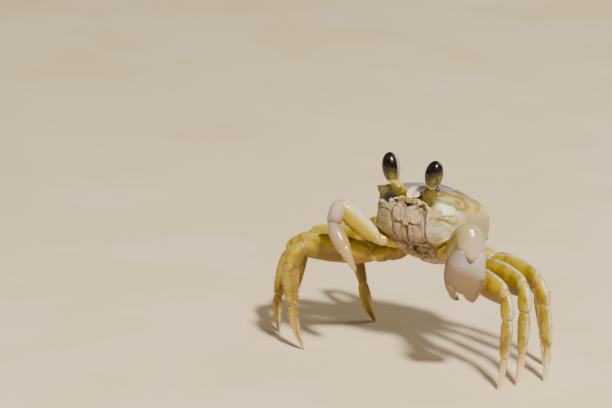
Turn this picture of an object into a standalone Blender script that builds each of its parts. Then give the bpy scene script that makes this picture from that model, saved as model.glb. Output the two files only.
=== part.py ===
"""An Atlantic ghost crab at life size, standing high on its legs with its claws hanging in front.

The crab faces -Y, its left side is +X and the floor is z = 0. Sizes below are millimetres, and
point() turns them into Blender's metres. The shield and all that grows on the trunk are drawn in
the trunk's own frame, whose empty is raised and tipped nose-up. Limbs are drawn where they stand.
"""

import math

import bmesh
import bpy
from mathutils import Matrix, Vector

MM = 0.001
GAP = 0.3

# The trunk: how high it is carried and how far its nose is tipped up.
TRUNK_HEIGHT = 57.0
TRUNK_PITCH = math.radians(17)

# The carapace is 40 mm across its outer eye-socket teeth.
SOCKET_TOOTH_X = 20.0
CARAPACE_POINTS = 40
SOCKET_MIDDLE = Vector((13.4, -18.8, 5.0))
SOCKET_HALF = Vector((7.0, 5.0, 3.5))
MOUTH_HALF_WIDTH = 7.5
MOUTH_TOP = Vector((0.0, -23.0, 3.2))
MOUTH_FOOT = Vector((0.0, -17.4, -11.2))
MOUTH_DEPTH = 2.6
EPISTOME_MIDDLE = Vector((0.0, -21.2, 4.3))
EPISTOME_HALF = (7.4, 0.8, 0.7)

EYE_MIDDLE = Vector((10.2, -18.5, 79.5))
EYE_HALF = Vector((3.7, 3.5, 5.8))
STALK_ROOT = Vector((5.0, -14.4, 65.8))

# Half of a leg piece's breadth and thickness along its length, as shares of its fullest size.
MERUS_FORM = ((0.0, 0.30, 0.34), (0.05, 0.52, 0.60), (0.16, 0.74, 0.82), (0.38, 0.95, 1.0),
              (0.62, 1.0, 1.0), (0.84, 0.90, 0.92), (0.96, 0.76, 0.80), (1.0, 0.60, 0.62))
CARPUS_FORM = ((0.0, 0.34, 0.40), (0.10, 0.62, 0.70), (0.35, 0.84, 0.92), (0.68, 1.0, 1.0),
               (0.92, 0.92, 0.92), (1.0, 0.72, 0.72))
WRIST_FORM = ((0.0, 0.50, 0.50), (0.08, 0.76, 0.78), (0.24, 0.94, 0.96), (0.48, 1.0, 1.0),
              (0.74, 0.95, 0.96), (0.92, 0.82, 0.84), (1.0, 0.62, 0.64))
PROPODUS_FORM = ((0.0, 0.36, 0.42), (0.07, 0.68, 0.76), (0.28, 1.0, 1.0), (0.60, 0.94, 0.94),
                 (0.90, 0.74, 0.80), (1.0, 0.58, 0.62))
DACTYL_FORM = ((0.0, 0.40, 0.46), (0.09, 0.86, 0.92), (0.28, 1.0, 1.0), (0.55, 0.80, 0.80),
               (0.80, 0.52, 0.54), (0.94, 0.28, 0.30), (1.0, 0.14, 0.16))
BASE_FORM = ((0.0, 0.70, 0.70), (0.18, 0.95, 0.95), (0.48, 1.0, 1.0), (0.60, 0.84, 0.84),
             (0.72, 0.96, 0.96), (0.92, 0.90, 0.90), (1.0, 0.66, 0.66))


# Materials

def shell_material(name, colour, roughness):
    """A Principled material of one colour."""
    made = bpy.data.materials.new(name)
    made.use_nodes = True
    shader = made.node_tree.nodes["Principled BSDF"]
    shader.inputs["Base Color"].default_value = (*colour, 1.0)
    shader.inputs["Roughness"].default_value = roughness
    shader.inputs["Metallic"].default_value = 0.0
    return made


# Meshes

def point(place):
    """A place in millimetres as Blender's metres, in the finished frame."""
    return Vector(place) * MM


def put_in(collection, name, mesh, material):
    made = bpy.data.objects.new(name, mesh)
    collection.objects.link(made)
    made.data.materials.clear()
    made.data.materials.append(material)
    return made


def loft(name, rings, material, collection, poles=(None, None), split=False):
    """A closed skin over rings of alike counts, each end closed flat or to a pole.

    With split, its four-sided faces become triangles, all cut along the same diagonal.
    """
    shape = bmesh.new()
    rows = [[shape.verts.new(point(place)) for place in ring] for ring in rings]
    count = len(rows[0])
    for lower, upper in zip(rows, rows[1:]):
        for i in range(count):
            k = (i + 1) % count
            shape.faces.new((lower[i], lower[k], upper[k], upper[i]))
    for row, pole, flip in ((rows[0], poles[0], True), (rows[-1], poles[1], False)):
        order = row[::-1] if flip else row
        if pole is None:
            shape.faces.new(order)
            continue
        tip = shape.verts.new(point(pole))
        for i in range(count):
            shape.faces.new((order[i], order[(i + 1) % count], tip))
    if split:
        sides = [face for face in shape.faces if len(face.verts) == 4]
        bmesh.ops.triangulate(shape, faces=sides, quad_method="FIXED")
    bmesh.ops.recalc_face_normals(shape, faces=shape.faces)
    mesh = bpy.data.meshes.new(name)
    shape.to_mesh(mesh)
    shape.free()
    mesh.shade_smooth()
    return put_in(collection, name, mesh, material)


def rounded(value, power):
    """A sine or cosine bent towards a box as power grows past 2."""
    return math.copysign(abs(value) ** (2.0 / power), value)


def oval(middle, across, along, power=2.0, count=10):
    """A ring about middle, reaching across and along it by those two vectors."""
    ring = []
    for i in range(count):
        turn = 2 * math.pi * i / count
        ring.append(middle + across * rounded(math.cos(turn), power)
                    + along * rounded(math.sin(turn), power))
    return ring


def egg(name, middle, half, material, collection, turn=None, segments=20, rings=12):
    """An ellipsoid from a UV sphere."""
    shape = bmesh.new()
    bmesh.ops.create_uvsphere(shape, u_segments=segments, v_segments=rings, radius=1.0)
    scale = Matrix.Diagonal((*(Vector(half) * MM), 1.0))
    spin = (turn or Matrix.Identity(3)).to_4x4()
    shape.transform(Matrix.Translation(point(middle)) @ spin @ scale)
    mesh = bpy.data.meshes.new(name)
    shape.to_mesh(mesh)
    shape.free()
    mesh.shade_smooth()
    return put_in(collection, name, mesh, material)


def block(name, half, collection, material, matrix, bevel=0.0):
    """A box, its edges rounded by bevel, set by a matrix in millimetres."""
    shape = bmesh.new()
    bmesh.ops.create_cube(shape, size=2.0)
    shape.transform(Matrix.Diagonal((*half, 1.0)))
    if bevel:
        bmesh.ops.bevel(shape, geom=shape.edges[:], offset=bevel, segments=3, profile=0.5,
                        affect="EDGES")
    shape.transform(Matrix.Scale(MM, 4) @ matrix)
    mesh = bpy.data.meshes.new(name)
    shape.to_mesh(mesh)
    shape.free()
    return put_in(collection, name, mesh, material)


# Booleans

def settle(made):
    """Turns an object's modifiers into its mesh and keeps its largest closed surface."""
    bpy.context.view_layer.update()
    graph = bpy.context.evaluated_depsgraph_get()
    mesh = bpy.data.meshes.new_from_object(made.evaluated_get(graph))
    made.modifiers.clear()
    made.data = mesh
    shape = bmesh.new()
    shape.from_mesh(mesh)
    bmesh.ops.remove_doubles(shape, verts=shape.verts, dist=2e-7)
    unseen = set(shape.verts)
    bodies = []
    while unseen:
        grown, edge = set(), [unseen.pop()]
        while edge:
            corner = edge.pop()
            grown.add(corner)
            for side in corner.link_edges:
                other = side.other_vert(corner)
                if other in unseen:
                    unseen.discard(other)
                    edge.append(other)
        bodies.append(grown)
    largest = max(bodies, key=len)
    loose = [corner for corner in shape.verts if corner not in largest]
    bmesh.ops.delete(shape, geom=loose, context="VERTS")
    shape.to_mesh(mesh)
    shape.free()
    mesh.shade_smooth()


def combine(made, others, operation):
    """One Boolean with a collection of closed objects, applied. The others are then removed."""
    if not others:
        return
    group = bpy.data.collections.new(made.name + "_" + operation.lower())
    bpy.context.scene.collection.children.link(group)
    for other in others:
        for holder in list(other.users_collection):
            holder.objects.unlink(other)
        group.objects.link(other)
    modifier = made.modifiers.new(operation.lower(), "BOOLEAN")
    modifier.operation = operation
    modifier.operand_type = "COLLECTION"
    modifier.collection = group
    modifier.solver = "MANIFOLD"
    settle(made)
    for other in others:
        bpy.data.objects.remove(other)
    bpy.data.collections.remove(group)


# The trunk

# Each ring of the trunk: half width, front y, rear y, height at the front, side and rear, and how
# square it is in front and behind. The first is the shield's top and the last the breastplate.
TRUNK_RINGS = (
    (6.5, -11.0, 3.0, 11.2, 11.5, 10.5, 2.4, 2.1),
    (12.4, -15.2, 7.6, 10.2, 10.0, 7.7, 3.2, 2.3),
    (16.8, -17.4, 11.4, 9.2, 8.2, 4.1, 4.4, 2.6),
    (19.2, -17.9, 14.3, 8.3, 6.6, 1.2, 5.4, 2.8),
    (20.4, -18.5, 16.8, 6.3, 3.6, -1.2, 5.0, 2.8),
    (21.1, -20.4, 18.3, 2.6, -0.4, -3.8, 3.8, 2.7),
    (21.1, -21.4, 18.8, -1.8, -4.8, -7.0, 3.1, 2.7),
    (20.2, -20.0, 18.0, -6.8, -9.4, -10.8, 2.9, 2.8),
    (17.6, -16.8, 15.2, -11.4, -13.2, -13.8, 2.8, 2.8),
    (13.0, -12.2, 11.6, -15.2, -16.2, -16.0, 2.7, 2.7),
    (7.5, -7.5, 7.8, -17.6, -18.0, -17.6, 2.4, 2.4),
)
TRUNK_TOP = Vector((0.0, -3.4, 12.0))
TRUNK_FOOT = Vector((0.0, -0.5, -18.6))
REAR_NARROWING = 0.28


def trunk_ring(half, front, rear, high_front, high_side, high_rear, front_power, rear_power):
    """An outline of the trunk, narrower behind, its height running from front to side to rear."""
    middle = (front + rear) / 2
    reach = (rear - front) / 2
    ring = []
    for i in range(CARAPACE_POINTS):
        turn = 2 * math.pi * i / CARAPACE_POINTS
        power = rear_power if math.sin(turn) > 0 else front_power
        away = rounded(math.sin(turn), power)
        share = abs(math.sin(turn)) ** 1.6
        end = high_rear if away > 0 else high_front
        width = half * (1 - REAR_NARROWING * max(away, 0.0) ** 2)
        ring.append(Vector((width * rounded(math.cos(turn), power), middle + reach * away,
                            high_side + (end - high_side) * share)))
    return ring


def trunk_solid(name, material, collection, shrink=0.0):
    rings = []
    for half, front, rear, *heights_and_powers in TRUNK_RINGS:
        rings.append(trunk_ring(half - shrink, front + shrink, rear - shrink,
                                *heights_and_powers))
    return loft(name, rings, material, collection, (TRUNK_TOP, TRUNK_FOOT))


# The line where the shield ends and the breastplate begins, as x and z: low beside the mouth and
# level at the flanks and behind. SPLIT_STATIONS are the y places where the one turns to the other.
SPLIT_FRONT = ((0.0, -12.8), (8.3, -12.6), (12.5, -11.2), (16.6, -8.2), (19.2, -5.6), (26.0, -5.4))
SPLIT_LEVEL = -6.4
SPLIT_STATIONS = ((-40.0, 0.0), (-10.0, 0.0), (0.0, 1.0), (40.0, 1.0))


def underside(name, drop, material, collection):
    """The space below the shield's lower edge, lowered by drop."""
    rings = []
    for y, share in SPLIT_STATIONS:
        half = [(x, z + (SPLIT_LEVEL - z) * share - drop) for x, z in SPLIT_FRONT]
        outline = [(-x, z) for x, z in reversed(half[1:])] + half + [(26.0, -45.0), (-26.0, -45.0)]
        rings.append([Vector((x, y, z)) for x, z in outline])
    return loft(name, rings, material, collection, split=True)


def mouth_matrix(out=0.0):
    """The mouth's own frame: x across, y into the head, z up along the plates."""
    up = (MOUTH_TOP - MOUTH_FOOT).normalized()
    inward = Vector((1, 0, 0)).cross(up) * -1
    turn = Matrix((Vector((1, 0, 0)), inward, up)).transposed()
    middle = (MOUTH_TOP + MOUTH_FOOT) / 2 - inward * out
    return Matrix.Translation(middle) @ turn.to_4x4()


def make_carapace(material, collection):
    shield = trunk_solid("carapace", material, collection)
    cutters = [underside("below_shield", 0.0, material, collection)]
    for side in (-1, 1):
        middle = Vector((SOCKET_MIDDLE.x * side, SOCKET_MIDDLE.y, SOCKET_MIDDLE.z))
        turn = Matrix.Rotation(math.radians(13 * side), 3, "Z")
        cutters.append(egg("socket", middle, SOCKET_HALF, material, collection, turn, 24, 14))
    mouth_half = (MOUTH_HALF_WIDTH + GAP, MOUTH_DEPTH, (MOUTH_TOP - MOUTH_FOOT).length / 2)
    cutters.append(block("mouth_frame", mouth_half, collection, material, mouth_matrix()))
    combine(shield, cutters, "DIFFERENCE")
    pieces = []
    for side in (-1, 1):
        root = Vector((SOCKET_TOOTH_X * side * 0.91, -10.6, 5.4))
        tip = Vector((SOCKET_TOOTH_X * side, -17.0, 6.2))
        pieces.append(spine("socket_tooth", root, tip, 2.1, material, collection))
    pieces.append(make_rostrum(material, collection))
    combine(shield, pieces, "UNION")
    return shield


def spine(name, root, tip, radius, material, collection, count=8):
    """A short horn from root to a blunt tip."""
    axis = (tip - root).normalized()
    across = axis.orthogonal().normalized()
    along = axis.cross(across)
    rings = []
    for share, size in ((0.0, 1.0), (0.45, 0.80), (0.80, 0.42), (0.97, 0.16)):
        middle = root.lerp(tip, share)
        rings.append(oval(middle, across * radius * size, along * radius * size, 2.0, count))
    return loft(name, rings, material, collection, (root - axis * 0.4, tip))


def make_rostrum(material, collection):
    """The narrow tongue of the front, which hangs between the eyestalks."""
    rows = ((11.2, -14.0, 4.8, 1.4), (10.1, -17.4, 4.4, 1.5), (8.5, -19.9, 4.0, 1.5),
            (6.9, -21.2, 3.6, 1.4), (5.9, -21.5, 2.6, 1.1))
    rings = []
    for height, y, half, thick in rows:
        rings.append(oval(Vector((0, y + thick, height)), Vector((half, 0, 0)),
                          Vector((0, thick, 0)), 2.4, 14))
    return loft("rostrum", rings, material, collection,
                (Vector((0, -11.0, 10.8)), Vector((0, -20.4, 5.3))))


def make_thorax(material, collection):
    chest = trunk_solid("thorax", material, collection, 0.8)
    combine(chest, [underside("above_line", GAP, material, collection)], "INTERSECT")
    return chest


# The tail, folded forward under the breastplate: place along its fold, half width, thickness.
ABDOMEN_PATH = ((16.9, -7.4, 8.2, 1.1), (16.2, -10.4, 7.9, 1.2), (13.9, -13.5, 7.6, 1.2),
                (11.0, -15.8, 7.2, 1.2), (7.6, -17.3, 6.6, 1.2), (3.9, -18.1, 5.6, 1.2),
                (0.2, -18.4, 4.3, 1.1), (-3.4, -18.2, 2.9, 1.0), (-6.4, -17.5, 1.2, 0.8))


def make_abdomen(material, collection, grow=0.0):
    """Seven plates, each stepping down to the next at its hind edge."""
    places = [Vector((0, y, z)) for y, z, _, _ in ABDOMEN_PATH]
    rings = []
    for i, (_, _, half, thick) in enumerate(ABDOMEN_PATH):
        ahead = places[min(i + 1, len(places) - 1)] - places[max(i - 1, 0)]
        out = ahead.normalized().cross(Vector((1, 0, 0))) * -1
        for step, size in ((-0.07, 1.0), (0.07, 0.93)):
            if i == 0 and step < 0 or i == len(places) - 1 and step > 0:
                step = 0.0
            middle = places[i] + ahead * step * 0.5
            rings.append(oval(middle, Vector((half * size + grow, 0, 0)),
                              out * (thick * size + grow), 2.6, 14))
    rings = rings[1:-1]
    if grow:
        first = (places[1] - places[0]).normalized() * grow
        last = (places[-1] - places[-2]).normalized() * grow
        rings[0] = [place - first for place in rings[0]]
        rings[-1] = [place + last for place in rings[-1]]
    return loft("abdomen", rings, material, collection)


def make_maxilliped(side, material, collection):
    """One door of the mouth: a long lower plate, a short upper plate and the feeler across its top."""
    across = MOUTH_HALF_WIDTH / 2
    frame = mouth_matrix(0.0)
    name = "maxilliped_left" if side > 0 else "maxilliped_right"
    plates = []
    for k, (low, high, half, proud) in enumerate(((-7.3, 0.8, across - 0.3, 0.5),
                                                  (0.4, 7.1, across - 0.5, 0.9))):
        middle = Vector((side * across, -proud, (low + high) / 2))
        size = (half, 1.5, (high - low) / 2)
        plates.append(block(f"plate_{k}", size, collection, material,
                            frame @ Matrix.Translation(middle), 1.1))
    door = plates[0]
    door.name = name
    combine(door, plates[1:], "UNION")
    return door


def make_epistome(material, collection):
    """The bar between mouth and brow, with both short antennae, drawn in the trunk's frame."""
    bar = block("epistome", EPISTOME_HALF, collection, material,
                Matrix.Translation(EPISTOME_MIDDLE), 0.35)
    pieces = []
    for side in (-1, 1):
        root = EPISTOME_MIDDLE + Vector((6.9 * side, 0.2, 0.1))
        bend = root + Vector((1.0 * side, -1.5, 0.5))
        tip = bend + Vector((2.2 * side, -1.8, -0.9))
        pieces.append(tapered("antenna", [root, bend, tip], (0.62, 0.48, 0.28), material,
                              collection))
    combine(bar, pieces, "UNION")
    return bar


def tapered(name, places, radii, material, collection, count=8):
    """A round feeler along a few places, thinning to its tip."""
    rings = []
    for i, (place, radius) in enumerate(zip(places, radii)):
        ahead = (places[min(i + 1, len(places) - 1)] - places[max(i - 1, 0)]).normalized()
        across = ahead.cross(Vector((0, 0, 1))).normalized()
        rings.append(oval(place, across * radius, ahead.cross(across) * radius, 2.0, count))
    return loft(name, rings, material, collection)


# The eyes

def make_eye(side, material, collection, grow=0.0):
    middle = Vector((EYE_MIDDLE.x * side, EYE_MIDDLE.y, EYE_MIDDLE.z))
    lean = Matrix.Rotation(math.radians(7 * side), 3, "Y")
    half = EYE_HALF + Vector((grow, grow, grow))
    name = "eye_left" if side > 0 else "eye_right"
    return egg(name, middle, half, material, collection, lean, 16, 12)


def make_stalk(side, material, collection, grow=0.0):
    root = Vector((STALK_ROOT.x * side, STALK_ROOT.y, STALK_ROOT.z))
    knee = Vector((7.6 * side, -17.0, 69.6))
    neck = Vector((9.2 * side, -17.8, 73.4))
    top = Vector((9.7 * side, -17.8, 75.4))
    name = "eyestalk_left" if side > 0 else "eyestalk_right"
    rings = []
    for place, radius in ((root, 1.5), (root.lerp(knee, 0.5), 2.1), (knee, 2.6),
                          (knee.lerp(neck, 0.5), 2.5), (neck, 1.9), (top, 1.7)):
        ahead = (top - root).normalized()
        across = ahead.cross(Vector((0, 1, 0))).normalized()
        rings.append(oval(place, across * (radius + grow), ahead.cross(across) * (radius + grow),
                          2.0, 12))
    reach = ahead * (0.2 + grow)
    return loft(name, rings, material, collection, (root - reach, top + reach))


# Limbs

def piece_rings(start, end, normal, form, breadth, thick, bow=0.0, grow=0.0, count=10):
    """Rings of one limb piece. Its breadth lies in the plane that normal stands on, bowed there."""
    axis = (end - start).normalized()
    broad = normal.cross(axis).normalized()
    length = (end - start).length
    rings = []
    for share, wide, deep in form:
        push = 0.0
        if grow and share in (0.0, 1.0):
            push = -grow if share == 0.0 else grow
        middle = start + axis * (length * share + push)
        middle = middle + broad * bow * math.sin(math.pi * share)
        across = broad * (breadth * wide / 2 + grow)
        along = normal * (thick * deep / 2 + grow)
        rings.append(oval(middle, across, along, 2.2, count))
    return rings


def limb_piece(name, start, end, normal, form, breadth, thick, material, collection, bow=0.0,
               grow=0.0, count=10):
    normal = normal.normalized()
    axis = (end - start).normalized()
    normal = (normal - axis * normal.dot(axis)).normalized()
    rings = piece_rings(start, end, normal, form, breadth, thick, bow, grow, count)
    tips = (start - axis * (0.25 + grow), end + axis * (0.2 + grow))
    return loft(name, rings, material, collection, tips)


# Each walking leg: its joints from the trunk to the foot, in the standing crab's frame. The foot's
# last point is on the floor. The right legs reach out, and the left ones stand under their knees.
LEG_JOINTS = {
    "leg_right_1": ((-12.5, -8.2, 42.0), (-21.0, -14.0, 40.0), (-45.8, -28.2, 42.6),
                    (-49.2, -31.8, 35.2), (-48.6, -31.6, 18.4), (-43.7, -30.2, 0.0)),
    "leg_right_2": ((-13.6, -1.6, 42.0), (-22.8, -4.2, 40.0), (-53.6, -12.0, 41.4),
                    (-62.2, -15.0, 33.7), (-66.6, -16.8, 15.6), (-65.0, -18.5, 0.0)),
    "leg_right_3": ((-13.4, 5.0, 42.0), (-22.4, 4.4, 40.0), (-53.0, -2.6, 41.0),
                    (-62.6, -5.5, 33.4), (-65.9, -7.1, 15.8), (-64.4, -8.2, 0.0)),
    "leg_right_4": ((-11.4, 11.4, 42.0), (-18.6, 13.8, 39.4), (-46.0, 17.5, 40.8),
                    (-54.4, 16.8, 33.8), (-47.8, 14.9, 15.0), (-42.4, 15.7, 0.0)),
    "leg_left_1": ((12.5, -8.2, 42.0), (21.0, -12.8, 40.4), (46.2, -21.0, 38.2),
                   (48.0, -22.2, 29.2), (47.0, -22.8, 13.6), (44.2, -22.8, 0.0)),
    "leg_left_2": ((13.6, -1.6, 42.0), (22.6, -3.6, 40.6), (49.0, -12.7, 39.8),
                   (50.2, -13.9, 30.8), (49.6, -14.5, 14.2), (47.2, -14.8, 0.0)),
    "leg_left_3": ((13.4, 5.0, 42.0), (22.4, 4.4, 40.6), (48.8, -2.0, 39.8),
                   (52.2, -3.2, 31.0), (54.2, -3.8, 14.2), (53.0, -4.2, 0.0)),
    "leg_left_4": ((11.4, 11.4, 42.0), (18.6, 12.4, 39.6), (35.0, 10.6, 37.4),
                   (40.0, 10.4, 30.4), (42.4, 10.8, 14.8), (42.6, 11.4, 0.0)),
}
# Breadth and thickness of the base, thigh, knee piece, shin and foot of each pair.
LEG_GIRTHS = {
    "1": ((7.0, 6.2), (11.2, 5.0), (6.8, 4.7), (6.0, 3.9), (3.8, 2.7)),
    "2": ((7.4, 6.2), (11.2, 5.2), (7.0, 4.9), (6.2, 4.1), (4.0, 2.8)),
    "3": ((7.0, 6.0), (10.4, 4.9), (6.5, 4.7), (5.7, 3.8), (3.7, 2.7)),
    "4": ((5.8, 5.2), (7.2, 4.2), (5.2, 4.0), (4.7, 3.4), (3.8, 2.7)),
}
LEG_PIECES = ("base", "merus", "carpus", "propodus", "dactyl")
LEG_FORMS = (BASE_FORM, MERUS_FORM, CARPUS_FORM, PROPODUS_FORM, DACTYL_FORM)
LEG_BOWS = (0.0, 0.5, 0.3, 0.2, 0.55)
JOINT_INSET = 1.1


def leg_normal(joints):
    """The normal of the plane that the leg bends in."""
    hip, foot = joints[1], joints[-1]
    out = Vector((foot.x - hip.x, foot.y - hip.y, 0.0)).normalized()
    return out.cross(Vector((0, 0, 1)))


def leg_piece(leg, k, material, collection, grow=0.0):
    """Piece k of a leg. From the thigh on, each starts a little inside the one before it."""
    joints = [Vector(place) for place in LEG_JOINTS[leg]]
    start, end = joints[k], joints[k + 1]
    if k > 0:
        start = start - (end - start).normalized() * JOINT_INSET
    breadth, thick = LEG_GIRTHS[leg[-1]][k]
    name = f"{leg}_{LEG_PIECES[k]}"
    return limb_piece(name, start, end, leg_normal(joints), LEG_FORMS[k], breadth, thick,
                      material, collection, LEG_BOWS[k], grow)


def make_leg(leg, materials, parts):
    """All five pieces of a leg, each hollowed where the next one's head sits in it."""
    made = []
    for k in range(len(LEG_PIECES)):
        piece = leg_piece(leg, k, materials[k], parts)
        if k + 1 < len(LEG_PIECES):
            head = leg_piece(leg, k + 1, materials[k], parts, GAP)
            combine(piece, [head], "DIFFERENCE")
        made.append(piece)
    flatten_foot(made[-1])
    return made


def flatten_foot(piece):
    """Trims the toe to a small flat at the floor."""
    shape = bmesh.new()
    shape.from_mesh(piece.data)
    geometry = shape.verts[:] + shape.edges[:] + shape.faces[:]
    bmesh.ops.bisect_plane(shape, geom=geometry, plane_co=(0, 0, 0), plane_no=(0, 0, -1),
                           clear_outer=True)
    rim = [side for side in shape.edges if side.is_boundary]
    bmesh.ops.holes_fill(shape, edges=rim, sides=0)
    shape.to_mesh(piece.data)
    shape.free()


# Claws

def claw_places(side):
    """The joints of a claw arm: its root, elbow end, wrist and the tip that the fingers meet at."""
    if side < 0:
        return [Vector(p) for p in ((-9.6, -11.4, 47.0), (-16.6, -18.8, 49.0), (-28.8, -26.4, 62.3),
                                    (-30.9, -29.0, 54.4), (-18.4, -30.8, 38.2))]
    return [Vector(p) for p in ((9.6, -11.4, 47.0), (16.6, -18.8, 49.0), (31.6, -28.2, 63.3),
                                (35.3, -30.6, 54.2), (29.2, -26.0, 33.5))]


CLAW_SIDES = {-1: "claw_right", 1: "claw_left"}
CLAW_GIRTHS = {
    -1: {"base": (6.4, 5.8), "merus": (8.0, 6.4), "carpus": (8.4, 7.2), "palm": (9.6, 6.4)},
    1: {"base": (7.2, 6.4), "merus": (9.4, 7.4), "carpus": (11.6, 9.6), "palm": (16.2, 9.6)},
}
CLAW_FACING = {-1: Vector((-0.86, -0.51, 0.0)), 1: Vector((0.62, -0.78, 0.0))}


def claw_arm_piece(side, kind, material, collection, grow=0.0):
    root, elbow, bend, wrist, _ = claw_places(side)
    start, end, form, bow = {
        "base": (root, elbow, BASE_FORM, 0.0),
        "merus": (elbow, bend, MERUS_FORM, 0.4),
        "carpus": (bend, wrist, WRIST_FORM, 0.6),
    }[kind]
    if kind != "base":
        start = start - (end - start).normalized() * JOINT_INSET
    breadth, thick = CLAW_GIRTHS[side][kind]
    normal = {"base": Vector((0, 0, 1)), "merus": Vector((-0.3 * side, -0.7, 0.45)),
              "carpus": CLAW_FACING[side]}[kind]
    return limb_piece(f"{CLAW_SIDES[side]}_{kind}", start, end, normal, form, breadth, thick,
                      material, collection, bow, grow, 12)


def claw_frame(side):
    """Wrist, direction to the tips, direction across the hand towards the thumb, and outward face."""
    _, _, _, wrist, tip = claw_places(side)
    along = (tip - wrist).normalized()
    face = CLAW_FACING[side]
    face = (face - along * face.dot(along)).normalized()
    inner = along.cross(face).normalized()
    if inner.x * side > 0:
        inner = inner * -1
    return wrist, (tip - wrist).length, along, inner, face


# The hand and its fixed finger: share of length, shift towards the thumb and half breadth as shares
# of the hand's breadth, and half thickness as a share of its thickness.
PALM_FORM = ((-0.05, 0.00, 0.24, 0.26), (0.0, 0.00, 0.34, 0.36), (0.08, 0.00, 0.42, 0.44),
             (0.22, -0.01, 0.47, 0.49), (0.40, -0.02, 0.50, 0.50), (0.52, -0.08, 0.44, 0.46),
             (0.60, -0.18, 0.32, 0.38), (0.72, -0.20, 0.24, 0.30), (0.85, -0.16, 0.17, 0.22),
             (0.95, -0.09, 0.10, 0.14), (1.0, -0.05, 0.05, 0.07))
FINGER_FORM = ((0.44, 0.27, 0.10, 0.24), (0.49, 0.28, 0.18, 0.36), (0.58, 0.30, 0.19, 0.36),
               (0.70, 0.29, 0.165, 0.30), (0.84, 0.22, 0.13, 0.22), (0.94, 0.14, 0.09, 0.14),
               (1.0, 0.08, 0.05, 0.07))


def claw_part(side, kind, material, collection, grow=0.0):
    """The hand with its fixed finger, or the movable finger."""
    wrist, length, along, inner, face = claw_frame(side)
    breadth, thick = CLAW_GIRTHS[side]["palm"]
    form = PALM_FORM if kind == "palm" else FINGER_FORM
    rings = []
    for i, (share, shift, wide, deep) in enumerate(form):
        push = -grow if i == 0 else grow if i == len(form) - 1 else 0.0
        middle = wrist + along * (length * share + push) + inner * breadth * shift
        rings.append(oval(middle, inner * (breadth * wide + grow), face * (thick * deep + grow),
                          2.2, 14))
    first = wrist + along * (length * form[0][0] - 0.4 - grow) + inner * breadth * form[0][1]
    last = wrist + along * (length * form[-1][0] + 0.3 + grow) + inner * breadth * form[-1][1]
    return loft(f"{CLAW_SIDES[side]}_{kind}", rings, material, collection, (first, last))


def make_claw(side, materials, parts):
    made = []
    for kind, follower in (("base", "merus"), ("merus", "carpus")):
        piece = claw_arm_piece(side, kind, materials[kind], parts)
        combine(piece, [claw_arm_piece(side, follower, materials[kind], parts, GAP)],
                "DIFFERENCE")
        made.append(piece)
    carpus = claw_arm_piece(side, "carpus", materials["carpus"], parts)
    combine(carpus, [claw_part(side, "palm", materials["carpus"], parts, GAP)], "DIFFERENCE")
    palm = claw_part(side, "palm", materials["palm"], parts)
    combine(palm, [claw_part(side, "finger", materials["palm"], parts, GAP)], "DIFFERENCE")
    finger = claw_part(side, "finger", materials["finger"], parts)
    return made + [carpus, palm, finger]


def centre_on_floor(parts):
    """Slides everything so that the middle of its outline, seen from above, is the origin."""
    bpy.context.view_layer.update()
    corners = []
    for made in parts.objects:
        if made.type == "MESH":
            corners += [made.matrix_world @ corner.co for corner in made.data.vertices]
    for axis in (0, 1):
        values = [corner[axis] for corner in corners]
        middle = (min(values) + max(values)) / 2
        for made in parts.objects:
            if made.parent is None:
                made.location[axis] -= middle


def main():
    for old in list(bpy.data.objects):
        bpy.data.objects.remove(old)
    parts = bpy.data.collections.new("ghost_crab")
    bpy.context.scene.collection.children.link(parts)

    shield = shell_material("carapace shell", (0.62, 0.56, 0.42), 0.42)
    pale = shell_material("pale underside shell", (0.72, 0.68, 0.56), 0.45)
    straw = shell_material("straw yellow leg shell", (0.66, 0.55, 0.16), 0.4)
    ivory = shell_material("ivory claw shell", (0.78, 0.72, 0.64), 0.35)
    olive = shell_material("olive eyestalk shell", (0.45, 0.38, 0.08), 0.4)
    cornea = shell_material("dark cornea", (0.03, 0.02, 0.015), 0.12)

    trunk = bpy.data.objects.new("trunk_frame", None)
    parts.objects.link(trunk)
    trunk.location = point((0, 0, TRUNK_HEIGHT))
    trunk.rotation_euler = (-TRUNK_PITCH, 0, 0)
    bpy.context.view_layer.update()

    carapace = make_carapace(shield, parts)
    thorax = make_thorax(pale, parts)
    abdomen = make_abdomen(pale, parts)
    grown_tail = make_abdomen(pale, parts, GAP)
    doors = [make_maxilliped(side, pale, parts) for side in (-1, 1)]
    epistome = make_epistome(pale, parts)
    bar_half = [value + GAP for value in EPISTOME_HALF]
    grown_bar = block("grown_bar", bar_half, parts, pale, Matrix.Translation(EPISTOME_MIDDLE))
    for piece in [carapace, thorax, abdomen, grown_tail, epistome, grown_bar] + doors:
        piece.parent = trunk
    combine(carapace, [grown_bar], "DIFFERENCE")
    combine(thorax, [grown_tail], "DIFFERENCE")

    leg_materials = [straw] * 5
    for leg in LEG_JOINTS:
        make_leg(leg, leg_materials, parts)
    claw_materials = {"base": straw, "merus": straw, "carpus": ivory, "palm": ivory,
                      "finger": ivory}
    for side in (-1, 1):
        make_claw(side, claw_materials, parts)
    for side in (-1, 1):
        make_eye(side, cornea, parts)
        stalk = make_stalk(side, olive, parts)
        combine(stalk, [make_eye(side, olive, parts, GAP)], "DIFFERENCE")
        combine(carapace, [make_stalk(side, shield, parts, GAP)], "DIFFERENCE")
        combine(epistome, [make_stalk(side, pale, parts, GAP)], "DIFFERENCE")

    grown_bases = [leg_piece(leg, 0, pale, parts, GAP) for leg in LEG_JOINTS]
    grown_bases += [claw_arm_piece(side, "base", pale, parts, GAP) for side in (-1, 1)]
    combine(thorax, grown_bases, "DIFFERENCE")
    grown_bases = [leg_piece(leg, 0, pale, parts, GAP) for leg in LEG_JOINTS]
    grown_bases += [claw_arm_piece(side, "base", pale, parts, GAP) for side in (-1, 1)]
    combine(carapace, grown_bases, "DIFFERENCE")
    centre_on_floor(parts)


main()
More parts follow.
